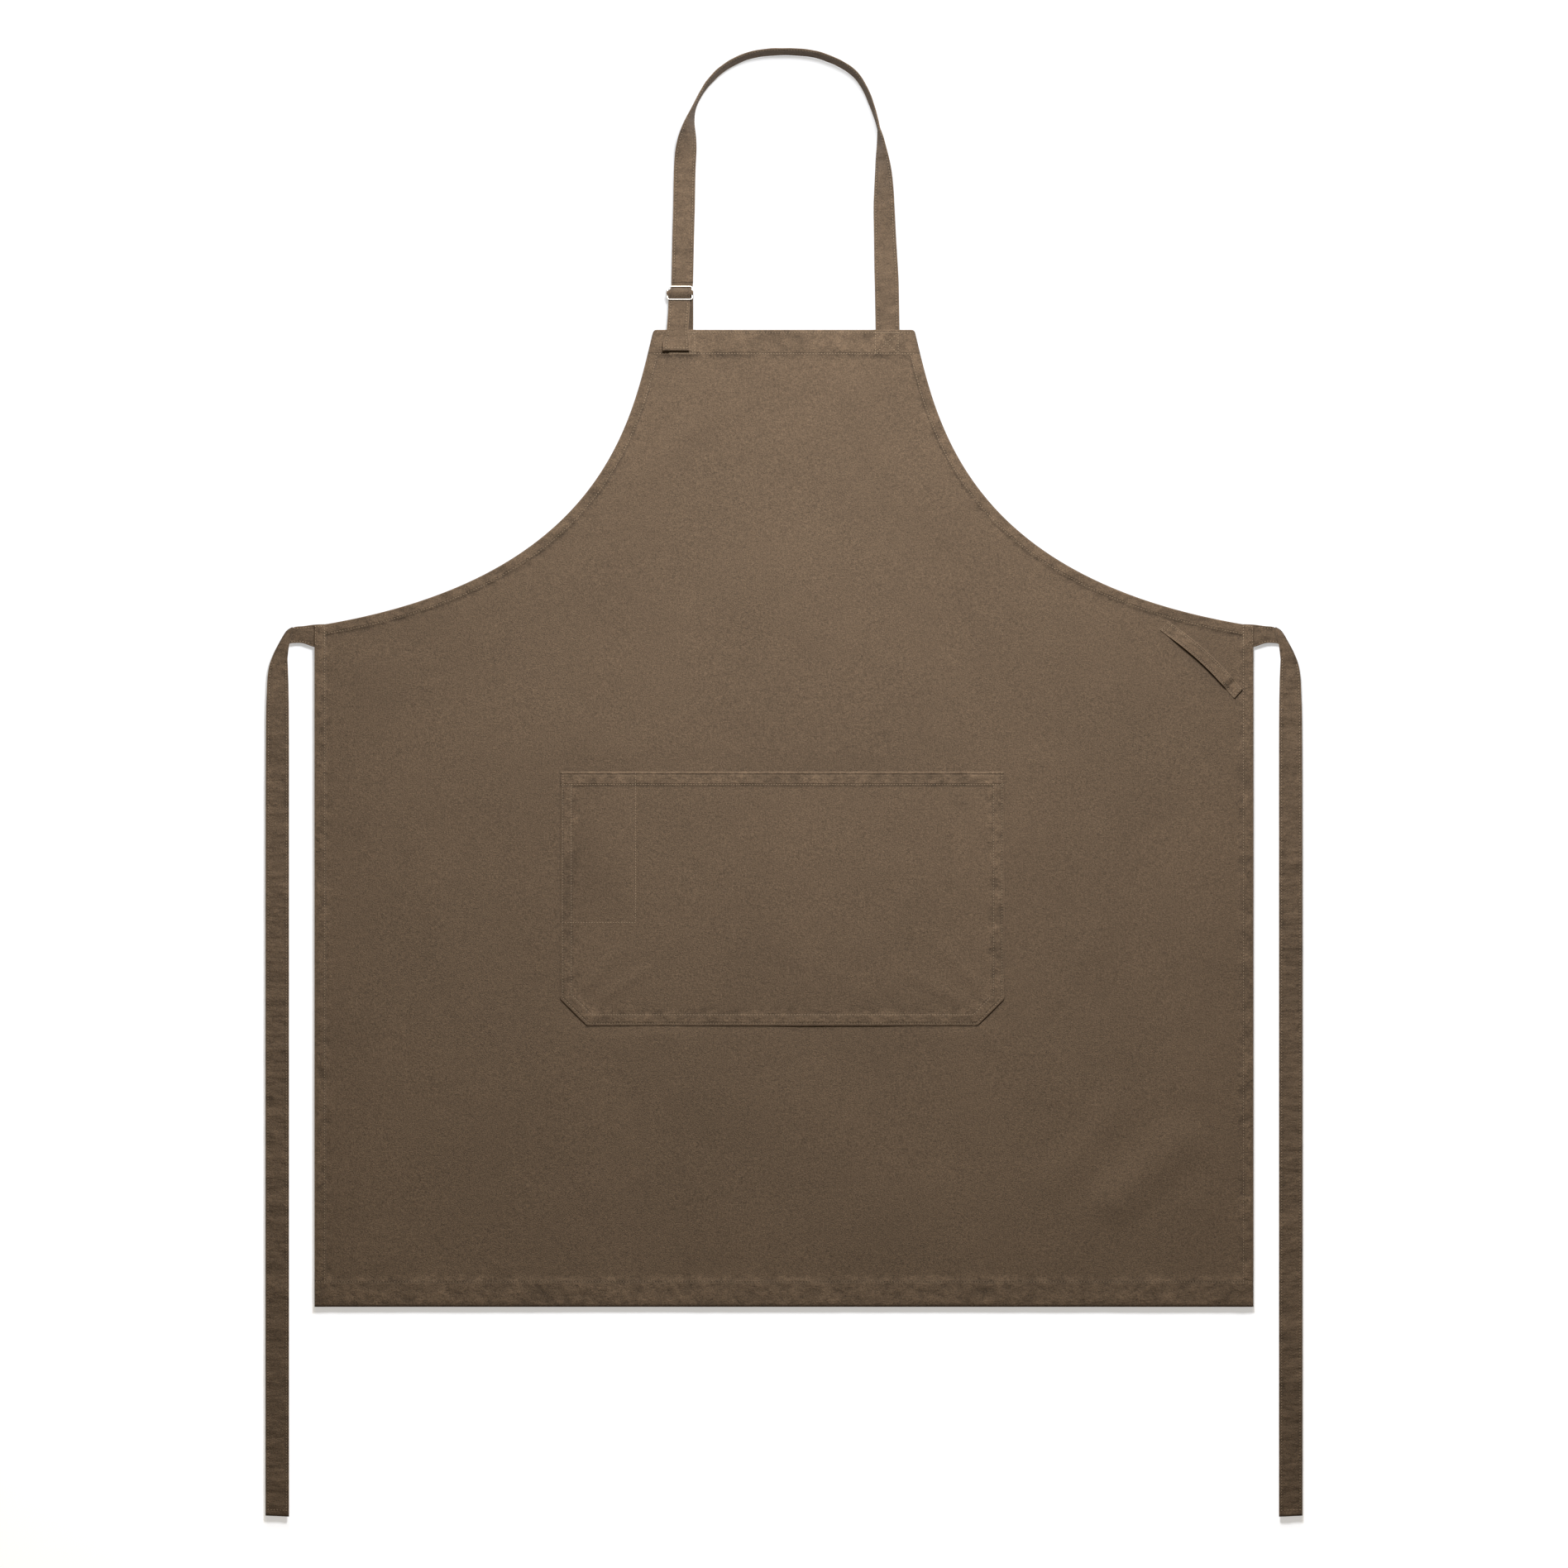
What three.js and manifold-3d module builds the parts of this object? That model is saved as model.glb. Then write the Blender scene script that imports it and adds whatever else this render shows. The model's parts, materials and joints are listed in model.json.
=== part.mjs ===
// Butcher apron: a bib apron of cotton canvas that lies flat, face up.
// Millimetres. X to the wearer's left as seen on the face, Y towards the neck, Z up off the cloth.
import * as THREE from 'three';
import { mergeVertices } from 'three/addons/utils/BufferGeometryUtils.js';
import Module from 'manifold-3d';

const wasm = await Module();
wasm.setup();

// Overall cloth
const panelWidth = 908;
const sideTopY = 152.8;
const sideLength = 658.4;
const bibTopY = 439.2;
const bibWidth = 252;
const clothThickness = 0.8;
const hemThickness = 2.4;
const bibHemThickness = 3.6;
const sideHem = 10.5;
const armholeHem = 10;
const bottomHem = 25;
const bibHem = 24;

// Patch pocket
const pocketWidth = 430;
const pocketDepth = 246;
const pocketTopY = 12;
const pocketShiftX = -1.5;
const pocketCorner = 26;
const pencilWidth = 73;
const pencilDepth = 146;
const pocketHem = 13;
const pocketBow = 6.5;
const pencilBow = 6.2;

// Straps and ties
const strapWidth = 21;
const strapThickness = 1.2;
const tieWidth = 22.8;
const tieStandOff = 47.5;
const tieEndY = -710;
const tieOverlap = 9.5;
const strapOverlap = 23;
const loopTopY = 710.5;
const tailLength = 48;
const loopFoldY = 484.3;

// Slide
const slideSideRoom = 0.6;
const wrapReach = 0.7;
const tailRoom = 1;
const barRadius = 0.8;
const barPitch = 6.4;
const slideTilt = THREE.MathUtils.degToRad(9);
const slideCentreY = 474.6;
const slideCentreZ = 4;
const leftStrapX = -98.4;
const rightStrapX = 99.4;

// Towel loop
const towelLoopWidth = 12;
const towelLoopSpan = 94;
const towelLoopInset = 85.2;
const towelLoopDrop = 9.6;
const towelLoopRise = 7.4;

// Threads and fits
const threadWidth = 0.6;
const threadHeight = 0.4;
const gap = 0.3;
const barClearance = 0.5;

const halfPanel = panelWidth / 2;
const halfBib = bibWidth / 2;
const bottomY = sideTopY - sideLength;
const tieY = sideTopY - 9.6;
const tieOuterX = halfPanel + tieStandOff;
const tieInnerX = tieOuterX - tieWidth;
const slideWidth = strapWidth + 4 * barRadius + 2 * slideSideRoom;
const recessDepth = strapThickness + gap;
const tabThickness = 2 * strapThickness;
const wrapRadius = barRadius + gap + strapThickness + gap + strapThickness / 2;
const guideRadius = barRadius + barClearance + strapThickness / 2;
const pocketLeft = pocketShiftX - pocketWidth / 2;
const pocketRight = pocketShiftX + pocketWidth / 2;
const pocketBottomY = pocketTopY - pocketDepth;
const dividerX = pocketLeft + pencilWidth;
const dividerBottomY = pocketTopY - pencilDepth;
const pocketBaseZ = clothThickness + gap;

const clothColor = 0x6f5c4a;
const threadColor = 0x8b7a64;

function clothMaterial() {
  return new THREE.MeshStandardMaterial({ color: clothColor, roughness: 0.92, metalness: 0 });
}

function threadMaterial() {
  return new THREE.MeshStandardMaterial({ color: threadColor, roughness: 0.8, metalness: 0 });
}

function nickelMaterial() {
  return new THREE.MeshStandardMaterial({ color: 0xd6cdbf, roughness: 0.25, metalness: 1 });
}

function signedVolume(geometry) {
  const p = geometry.attributes.position;
  const index = geometry.index;
  const a = new THREE.Vector3();
  const b = new THREE.Vector3();
  const c = new THREE.Vector3();
  let sum = 0;
  for (let i = 0; i < index.count; i += 3) {
    a.fromBufferAttribute(p, index.getX(i));
    b.fromBufferAttribute(p, index.getX(i + 1));
    c.fromBufferAttribute(p, index.getX(i + 2));
    sum += a.dot(b.cross(c)) / 6;
  }
  return sum;
}

function closedBody(points, faces) {
  const geometry = new THREE.BufferGeometry();
  const flat = points.flatMap((p) => [p.x, p.y, p.z]);
  geometry.setAttribute('position', new THREE.Float32BufferAttribute(flat, 3));
  geometry.setIndex(faces.flat());
  if (signedVolume(geometry) < 0) {
    geometry.setIndex(faces.map(([a, b, c]) => [a, c, b]).flat());
  }
  geometry.computeVertexNormals();
  return geometry;
}

function toManifold(geometry) {
  const plain = geometry.clone();
  plain.deleteAttribute('normal');
  plain.deleteAttribute('uv');
  const merged = mergeVertices(plain, 1e-4);
  const mesh = new wasm.Mesh({
    numProp: 3,
    vertProperties: new Float32Array(merged.attributes.position.array),
    triVerts: new Uint32Array(merged.index.array),
  });
  return new wasm.Manifold(mesh);
}

function fromManifold(body) {
  const mesh = body.getMesh();
  const geometry = new THREE.BufferGeometry();
  geometry.setAttribute('position', new THREE.Float32BufferAttribute(mesh.vertProperties, 3));
  geometry.setIndex(new THREE.Uint32BufferAttribute(mesh.triVerts, 1));
  geometry.computeVertexNormals();
  return geometry;
}

function prism(outline, z0, z1) {
  const shape = new THREE.Shape(outline);
  const geometry = new THREE.ExtrudeGeometry(shape, { depth: z1 - z0, bevelEnabled: false });
  geometry.translate(0, 0, z0);
  return geometry;
}

function block(x0, x1, y0, y1, z0, z1) {
  const geometry = new THREE.BoxGeometry(x1 - x0, y1 - y0, z1 - z0);
  geometry.translate((x0 + x1) / 2, (y0 + y1) / 2, (z0 + z1) / 2);
  return geometry;
}

// A band whose side profile lies in YZ, drawn as (y, z) points, and which runs across X.
function acrossX(profile, hole, x, width) {
  const shape = new THREE.Shape(profile);
  if (hole) {
    shape.holes.push(new THREE.Path(hole));
  }
  const geometry = new THREE.ExtrudeGeometry(shape, { depth: width, bevelEnabled: false });
  const turn = new THREE.Matrix4().set(0, 0, 1, x - width / 2, 1, 0, 0, 0, 0, 1, 0, 0, 0, 0, 0, 1);
  geometry.applyMatrix4(turn);
  return geometry;
}

// Solid swept through matching rings of points.
function loft(rings) {
  const n = rings[0].length;
  const points = rings.flat();
  const faces = [];
  for (let i = 0; i + 1 < rings.length; i += 1) {
    for (let j = 0; j < n; j += 1) {
      const a = i * n + j;
      const b = i * n + ((j + 1) % n);
      faces.push([a, b, b + n], [a, b + n, a + n]);
    }
  }
  const last = (rings.length - 1) * n;
  for (let j = 1; j + 1 < n; j += 1) {
    faces.push([0, j + 1, j], [last, last + j, last + j + 1]);
  }
  return closedBody(points, faces);
}

// Side-by-side offset of a line in the XY plane; positive is to the left of travel.
function offsetLine(points, distance) {
  return points.map((p, i) => {
    const before = points[Math.max(0, i - 1)];
    const after = points[Math.min(points.length - 1, i + 1)];
    const along = after.clone().sub(before).normalize();
    return new THREE.Vector2(p.x - along.y * distance, p.y + along.x * distance);
  });
}

// Sewing thread laid along a line in plan, resting just above the cloth under it.
function threadAlong(line, surface) {
  const left = offsetLine(line, threadWidth / 2);
  const right = offsetLine(line, -threadWidth / 2);
  const rings = line.map((p, i) => {
    const z = surface(p.x, p.y) + gap;
    return [
      new THREE.Vector3(left[i].x, left[i].y, z),
      new THREE.Vector3(right[i].x, right[i].y, z),
      new THREE.Vector3(right[i].x, right[i].y, z + threadHeight),
      new THREE.Vector3(left[i].x, left[i].y, z + threadHeight),
    ];
  });
  return loft(rings);
}

function level(z) {
  return () => z;
}

function vec(x, y) {
  return new THREE.Vector2(x, y);
}

function divide(a, b, count) {
  const out = [];
  for (let i = 0; i <= count; i += 1) {
    out.push(new THREE.Vector2().lerpVectors(a, b, i / count));
  }
  return out;
}

function polyline(corners, count) {
  const out = [corners[0]];
  for (let i = 0; i + 1 < corners.length; i += 1) {
    out.push(...divide(corners[i], corners[i + 1], count).slice(1));
  }
  return out;
}

// ---- body panel ----

function armhole(side) {
  const across = halfPanel - halfBib;
  const drop = bibTopY - sideTopY;
  const curve = new THREE.CubicBezierCurve(
    vec(side * halfBib, bibTopY),
    vec(side * (halfBib + 0.064 * across), bibTopY - 0.3 * drop),
    vec(side * (halfBib + 0.14 * across), bibTopY - 0.845 * drop),
    vec(side * halfPanel, sideTopY),
  );
  return curve.getPoints(28);
}

function panelOutline() {
  return [
    ...armhole(-1),
    vec(-halfPanel, bottomY),
    vec(halfPanel, bottomY),
    ...armhole(1).reverse(),
  ];
}

// The single-layer field inside the turned hems.
function fieldPrism() {
  const outline = [
    ...offsetLine(armhole(-1), armholeHem),
    vec(-halfPanel, bottomY),
    vec(halfPanel, bottomY),
    ...offsetLine(armhole(1), -armholeHem).reverse(),
  ];
  const inset = halfPanel - sideHem;
  const inside = block(-inset, inset, bottomY + bottomHem, bibTopY - bibHem, 0, 20);
  return toManifold(prism(outline, clothThickness, bibHemThickness + 5)).intersect(toManifold(inside));
}

function bodyPanel() {
  const sheet = toManifold(prism(panelOutline(), 0, bibHemThickness));
  const upper = block(-halfPanel - 5, halfPanel + 5, bottomY - 5, bibTopY - bibHem, hemThickness, 9);
  let body = sheet.subtract(toManifold(upper)).subtract(fieldPrism());
  for (const side of [-1, 1]) {
    const inner = halfPanel - tieOverlap - gap;
    const x0 = Math.min(side * inner, side * (halfPanel + 5));
    const x1 = Math.max(side * inner, side * (halfPanel + 5));
    const half = tieWidth / 2 + gap;
    body = body.subtract(toManifold(block(x0, x1, tieY - half, tieY + half, -1, recessDepth)));
  }
  const strapHalf = strapWidth / 2 + gap;
  const recessY = bibTopY - strapOverlap - gap;
  const tab = block(leftStrapX - strapHalf, leftStrapX + strapHalf, recessY, bibTopY + 5, -1, tabThickness + gap);
  const end = block(rightStrapX - strapHalf, rightStrapX + strapHalf, recessY, bibTopY + 5, -1, recessDepth);
  body = body.subtract(toManifold(tab)).subtract(toManifold(end));
  return fromManifold(body);
}

// ---- patch pocket ----

function cornerCut(y) {
  return Math.max(0, pocketCorner - (y - pocketBottomY));
}

function bow(u, v) {
  const across = Math.sin(Math.PI * Math.min(1, Math.max(0, u)));
  const up = Math.min(1, Math.max(0, v));
  return across * Math.sin((Math.PI / 2) * up);
}

function pocketRise(x, y) {
  if (x < dividerX) {
    const v = (y - dividerBottomY) / pencilDepth;
    return pencilBow * bow((x - pocketLeft) / pencilWidth, v);
  }
  const v = (y - pocketBottomY) / pocketDepth;
  return pocketBow * bow((x - dividerX) / (pocketRight - dividerX), v);
}

function pocketTopZ(x, y) {
  const cloth = y > pocketTopY - pocketHem - 1 ? 1.6 : clothThickness;
  return pocketBaseZ + cloth + pocketRise(x, y);
}

function pocketRow(y) {
  const cut = cornerCut(y);
  const xs = divide(vec(pocketLeft, 0), vec(dividerX, 0), 12).map((p) => p.x);
  xs.push(...divide(vec(dividerX, 0), vec(pocketRight, 0), 24).map((p) => p.x).slice(1));
  const squeeze = (pocketWidth - 2 * cut) / pocketWidth;
  return xs.map((x) => pocketShiftX + (x - pocketShiftX) * squeeze);
}

function pocketLevels() {
  const levels = divide(vec(0, pocketBottomY), vec(0, dividerBottomY), 5).map((p) => p.y);
  const upper = divide(vec(0, dividerBottomY), vec(0, pocketTopY - pocketHem - 1), 6).map((p) => p.y);
  levels.push(...upper.slice(1), pocketTopY - pocketHem, pocketTopY);
  levels.splice(1, 0, pocketBottomY + pocketCorner);
  return [...new Set(levels)].sort((a, b) => a - b);
}

function pocketPanel() {
  const levels = pocketLevels();
  const points = [];
  const columns = pocketRow(pocketTopY).length;
  for (const y of levels) {
    for (const x of pocketRow(y)) {
      points.push(new THREE.Vector3(x, y, pocketTopZ(x, y)));
    }
  }
  const count = points.length;
  for (let i = 0; i < count; i += 1) {
    const p = points[i];
    points.push(new THREE.Vector3(p.x, p.y, pocketBaseZ + pocketRise(p.x, p.y)));
  }
  const faces = [];
  for (let r = 0; r + 1 < levels.length; r += 1) {
    for (let c = 0; c + 1 < columns; c += 1) {
      const a = r * columns + c;
      const b = a + columns;
      faces.push([a, a + 1, b + 1], [a, b + 1, b]);
      faces.push([a + count, b + 1 + count, a + 1 + count], [a + count, b + count, b + 1 + count]);
    }
  }
  const rim = [];
  for (let c = 0; c + 1 < columns; c += 1) {
    rim.push(c);
  }
  for (let r = 0; r + 1 < levels.length; r += 1) {
    rim.push(r * columns + columns - 1);
  }
  for (let c = columns - 1; c > 0; c -= 1) {
    rim.push((levels.length - 1) * columns + c);
  }
  for (let r = levels.length - 1; r > 0; r -= 1) {
    rim.push(r * columns);
  }
  rim.forEach((a, i) => {
    const b = rim[(i + 1) % rim.length];
    faces.push([a, a + count, b + count], [a, b + count, b]);
  });
  return closedBody(points, faces);
}

function pocketEdgeLine(inset) {
  const l = pocketLeft + inset;
  const r = pocketRight - inset;
  const b = pocketBottomY + inset;
  const cut = pocketCorner - inset * 0.6;
  const hemFoot = pocketTopY - pocketHem - 1;
  const corners = [
    vec(l, hemFoot),
    vec(l, b + cut),
    vec(l + cut, b),
    vec(r - cut, b),
    vec(r, b + cut),
    vec(r, hemFoot),
  ];
  const overHem = (x) => [vec(x, pocketTopY - 2), vec(x, hemFoot + 1)];
  return [...overHem(l), ...polyline(corners, 14), ...overHem(r).reverse()];
}

// ---- neck strap, tab and slide ----

function barCentre(steps) {
  const reach = steps * barPitch;
  const y = slideCentreY - reach * Math.cos(slideTilt);
  return vec(y, slideCentreZ + reach * Math.sin(slideTilt));
}

function arcAbout(centre, radius, from, to, count) {
  const out = [];
  for (let i = 0; i <= count; i += 1) {
    const a = from + ((to - from) * i) / count;
    out.push(vec(centre.x + radius * Math.cos(a), centre.y + radius * Math.sin(a)));
  }
  return out;
}

// Direction from a bar over which the strap passes to the point where it leaves for the next bar.
function leaveAngle(over, under, overRadius, underRadius) {
  const link = under.clone().sub(over);
  const side = Math.acos((overRadius + underRadius) / link.length());
  return { toward: link.angle(), side };
}

// The strap's way through the slide, offset from its own middle plane by "shift".
function throughSlide(shift) {
  const upper = barCentre(-1);
  const middle = barCentre(0);
  const lower = barCentre(1);
  const over = wrapRadius + shift;
  const under = guideRadius - shift;
  const first = leaveAngle(middle, upper, over, under);
  const second = leaveAngle(middle, lower, over, under);
  const startAngle = first.toward > Math.PI ? first.toward - 2 * Math.PI : first.toward;
  const a0 = startAngle + first.side;
  const a1 = second.toward - second.side;
  return [
    vec(loopFoldY - gap / 2, upper.y - under),
    ...arcAbout(upper, under, -Math.PI / 2, a0 - Math.PI, 5),
    ...arcAbout(middle, over, a0, a1, 12),
    ...arcAbout(lower, under, a1 - Math.PI, -Math.PI / 2, 5),
    vec(lower.x - wrapReach, lower.y - under),
  ];
}

function strapThroughSlide() {
  const top = throughSlide(strapThickness / 2);
  const below = throughSlide(-strapThickness / 2).reverse();
  return acrossX([...top, ...below], null, leftStrapX, strapWidth);
}

function neckTab() {
  const middle = barCentre(0);
  const lower = barCentre(1);
  const over = barRadius + gap + strapThickness;
  const under = lower.y - tabThickness;
  const leave = leaveAngle(middle, lower, over, under);
  const a1 = leave.toward - leave.side;
  const start = -Math.PI / 2 - 0.35;
  const profile = [
    vec(bibTopY - strapOverlap, 0),
    vec(middle.x - 6, 0),
    ...arcAbout(middle, over, start, a1, 20),
    ...arcAbout(lower, under, a1 - Math.PI, -Math.PI / 2, 5),
    vec(bibTopY - strapOverlap, tabThickness),
  ];
  const eye = arcAbout(middle, barRadius + gap, 0, 2 * Math.PI, 16).slice(0, -1);
  return acrossX(profile, eye, leftStrapX, strapWidth - 0.6);
}

function slideBuckle() {
  const bars = [-1, 0, 1].map((i) => barCentre(i));
  const reach = slideWidth / 2;
  let body = null;
  for (const bar of bars) {
    const rod = new THREE.CylinderGeometry(barRadius, barRadius, slideWidth - 1.6, 12);
    rod.rotateZ(Math.PI / 2);
    rod.translate(leftStrapX, bar.x, bar.y);
    const solid = toManifold(rod);
    body = body ? body.add(solid) : solid;
  }
  for (const side of [-1, 1]) {
    const leg = new THREE.CapsuleGeometry(barRadius, 2 * barPitch - 0.6, 3, 12);
    leg.rotateX(-slideTilt);
    leg.translate(leftStrapX + side * (reach - barRadius), slideCentreY, slideCentreZ);
    body = body.add(toManifold(leg));
  }
  return fromManifold(body);
}

// One ring of a strap: centre, plan direction of travel, lean from flat (0) to on edge (90 degrees).
function strapRing(centre, heading, lean, width, thickness, across, above) {
  const outward = new THREE.Vector3(-heading.y, heading.x, 0);
  const widthway = outward.clone().multiplyScalar(Math.cos(lean));
  widthway.z += Math.sin(lean);
  const normal = outward.clone().multiplyScalar(-Math.sin(lean));
  normal.z += Math.cos(lean);
  const middle = centre.clone().addScaledVector(widthway, across).addScaledVector(normal, above);
  const corner = (a, b) => middle.clone().addScaledVector(widthway, a * width / 2).addScaledVector(normal, b * thickness / 2);
  return [corner(-1, -1), corner(1, -1), corner(1, 1), corner(-1, 1)];
}

// Neck loop: two flat legs that rise on edge into an arch around the neck.
function loopLine() {
  const rise = loopTopY - loopFoldY;
  const top = loopTopY - 3.3;
  const at = (x, part) => new THREE.Vector3(x, loopFoldY + gap / 2 + part * rise, 0);
  const legs = [
    at(leftStrapX, 0), at(leftStrapX + 1.6, 0.3), at(leftStrapX + 4, 0.58), at(leftStrapX + 12, 0.75),
    at(leftStrapX + 32, 0.885), at(leftStrapX + 62, 0.965),
    new THREE.Vector3(2, top, 0),
    at(rightStrapX - 62, 0.965), at(rightStrapX - 30, 0.885), at(rightStrapX - 11, 0.71),
    at(rightStrapX - 4, 0.5), at(rightStrapX - 2.5, 0.3), at(rightStrapX, 0),
  ];
  return new THREE.CatmullRomCurve3(legs, false, 'centripetal');
}

function smooth(t) {
  const u = Math.min(1, Math.max(0, t));
  return u * u * (3 - 2 * u);
}

function loopRings(width, thickness, across, above) {
  const curve = loopLine();
  const lean = THREE.MathUtils.degToRad(78);
  const rings = [];
  const count = 64;
  for (let i = 0; i <= count; i += 1) {
    const u = i / count;
    const centre = curve.getPointAt(u);
    const tangent = curve.getTangentAt(u);
    const atEnd = i === 0 || i === count;
    const heading = atEnd ? vec(0, i === 0 ? 1 : -1) : vec(tangent.x, tangent.y).normalize();
    const tilt = lean * Math.min(smooth((u - 0.2) / 0.11), smooth((0.86 - u) / 0.2));
    centre.z = (strapWidth / 2) * Math.sin(tilt) + (strapThickness / 2) * Math.cos(tilt);
    rings.push(strapRing(centre, heading, tilt, width, thickness, across, above));
  }
  return rings;
}

function neckLoop() {
  return loft(loopRings(strapWidth, strapThickness, 0, 0));
}

function loopStitch(side) {
  const across = side * (strapWidth / 2 - 2.2);
  const above = strapThickness / 2 + 2 * gap + threadHeight / 2;
  return loft(loopRings(threadWidth, threadHeight, across, above).slice(1, -1));
}

function tailHeight(part) {
  const start = barCentre(1).y - guideRadius;
  const overHem = bibHemThickness + threadHeight + 2 * gap + strapThickness / 2;
  return start + (overHem - start) * smooth(part / 0.6) + 2.2 * smooth((part - 0.55) / 0.45);
}

function tailStart() {
  return barCentre(1).x - wrapReach - tailRoom;
}

function tailProfile(shift, thickness, inset) {
  const line = [];
  for (let i = 0; i <= 12; i += 1) {
    const part = inset + ((1 - 2 * inset) * i) / 12;
    line.push(vec(tailStart() - part * tailLength, tailHeight(part) + shift));
  }
  const up = line.map((p) => vec(p.x, p.y + thickness / 2));
  const down = line.map((p) => vec(p.x, p.y - thickness / 2)).reverse();
  return [...up, ...down];
}

function strapTail() {
  return acrossX(tailProfile(0, strapThickness, 0), null, leftStrapX, strapWidth);
}

function tailStitch() {
  const side = strapWidth / 2 - 2.2;
  const near = tailStart() - 3.5;
  const far = tailStart() - tailLength + 2.4;
  const l = leftStrapX - side;
  const r = leftStrapX + side;
  const line = polyline([vec(l, near), vec(l, far), vec(r, far), vec(r, near)], 12);
  const surface = (x, y) => tailHeight((tailStart() - y) / tailLength) + strapThickness / 2;
  return threadAlong(line, surface);
}

function strapRightEnd() {
  const y0 = bibTopY - strapOverlap;
  const y1 = loopFoldY - gap / 2;
  const half = strapWidth / 2;
  return block(rightStrapX - half, rightStrapX + half, y0, y1, 0, strapThickness);
}

function boxAndCross(x, y, width, height, surface) {
  const l = x - width / 2;
  const r = x + width / 2;
  const b = y - height / 2;
  const t = y + height / 2;
  const box = polyline([vec(l, t), vec(l, b), vec(r, b), vec(r, t), vec(l + 1.2, t)], 3);
  const back = polyline([vec(l + 1.2, t), vec(r - 1.2, b + 1.2)], 4).slice(1);
  const outline = toManifold(threadAlong(box, surface));
  const cross = toManifold(threadAlong([vec(l + 1.2, t), ...back], surface));
  const other = toManifold(threadAlong(polyline([vec(l, b), vec(r, t)], 4), surface));
  return fromManifold(outline.add(cross).add(other));
}

// ---- waist ties ----

function tieOutline(side) {
  const stub = halfPanel + 1.5;
  const top = tieY + tieWidth / 2 - 2;
  const low = tieY - tieWidth / 2 + 2;
  const shape = new THREE.Shape();
  shape.moveTo(side * stub, tieY + tieWidth / 2);
  shape.lineTo(side * (stub + 12), top);
  shape.bezierCurveTo(side * (tieOuterX - 10), top, side * tieOuterX, top - 30, side * tieOuterX, top - 90);
  shape.lineTo(side * tieOuterX, tieEndY + 3);
  shape.quadraticCurveTo(side * tieOuterX, tieEndY, side * (tieOuterX - 3), tieEndY);
  shape.lineTo(side * (tieInnerX + 2), tieEndY + 2.5);
  shape.quadraticCurveTo(side * tieInnerX, tieEndY + 2.5, side * tieInnerX, tieEndY + 6);
  shape.lineTo(side * tieInnerX, low - 40);
  shape.lineTo(side * (tieInnerX - 2), low);
  shape.lineTo(side * stub, tieY - tieWidth / 2);
  return shape;
}

function waistTie(side) {
  const geometry = new THREE.ExtrudeGeometry(tieOutline(side), {
    depth: strapThickness, bevelEnabled: false, curveSegments: 10,
  });
  const pleat = new THREE.Shape();
  const x0 = tieInnerX - 3;
  pleat.moveTo(side * x0, tieY + 7);
  pleat.lineTo(side * (x0 + 4), tieY + 6);
  pleat.lineTo(side * (tieInnerX + 11), tieY - 12);
  pleat.lineTo(side * (tieInnerX + 1), tieY - 34);
  const fold = new THREE.ExtrudeGeometry(pleat, { depth: strapThickness + 1, bevelEnabled: false });
  fold.translate(0, 0, strapThickness - 1);
  return fromManifold(toManifold(geometry).add(toManifold(fold)));
}

function tieStitch(side) {
  const inset = 2.4;
  const start = tieY - 50;
  const o = side * (tieOuterX - inset - 0.8);
  const i = side * (tieInnerX + inset);
  const corners = [vec(o, start), vec(o, tieEndY + inset + 2.5), vec(i, tieEndY + inset + 2.5), vec(i, start)];
  return threadAlong(polyline(corners, 6), level(strapThickness));
}

function tieSewnEnd(side) {
  const a = side * (halfPanel - tieOverlap);
  const b = side * (halfPanel + 1.5 - gap);
  const half = tieWidth / 2;
  return block(Math.min(a, b), Math.max(a, b), tieY - half, tieY + half, 0, strapThickness);
}

// ---- towel loop ----

function armholeYAt(x) {
  const points = armhole(1);
  const i = points.findIndex((p) => p.x > x);
  const a = points[i - 1];
  const b = points[i];
  return a.y + ((b.y - a.y) * (x - a.x)) / (b.x - a.x);
}

const towelLoopX = halfPanel - towelLoopInset;
const towelLoopY = armholeYAt(towelLoopX) - armholeHem - towelLoopDrop;

function towelHeight(s) {
  const part = s / towelLoopSpan;
  const up = smooth((part - 0.05) / 0.24);
  const down = 1 - smooth((part - 0.8) / 0.1);
  return towelLoopRise * Math.min(up, down);
}

function placeTowel(geometry) {
  geometry.rotateZ(-Math.PI / 4);
  geometry.translate(towelLoopX, towelLoopY, 0);
  return geometry;
}

function towelLoop() {
  const rings = [];
  const count = 40;
  const half = towelLoopWidth / 2;
  for (let i = 0; i <= count; i += 1) {
    const s = -2 + ((towelLoopSpan + 4) * i) / count;
    const z = clothThickness + gap + towelHeight(s);
    rings.push([
      new THREE.Vector3(s, -half, z),
      new THREE.Vector3(s, half, z),
      new THREE.Vector3(s, half, z + strapThickness),
      new THREE.Vector3(s, -half, z + strapThickness),
    ]);
  }
  return placeTowel(loft(rings));
}

function towelTack(s) {
  const half = towelLoopWidth / 2 - 0.8;
  const z = clothThickness + gap + strapThickness + gap;
  return placeTowel(block(s - 0.8, s + 0.8, -half, half, z, z + threadHeight));
}

// ---- assembly ----

const apron = new THREE.Group();
apron.name = 'butcher_apron';

function add(name, geometry, material) {
  const mesh = new THREE.Mesh(geometry, material);
  mesh.name = name;
  apron.add(mesh);
}

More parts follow.
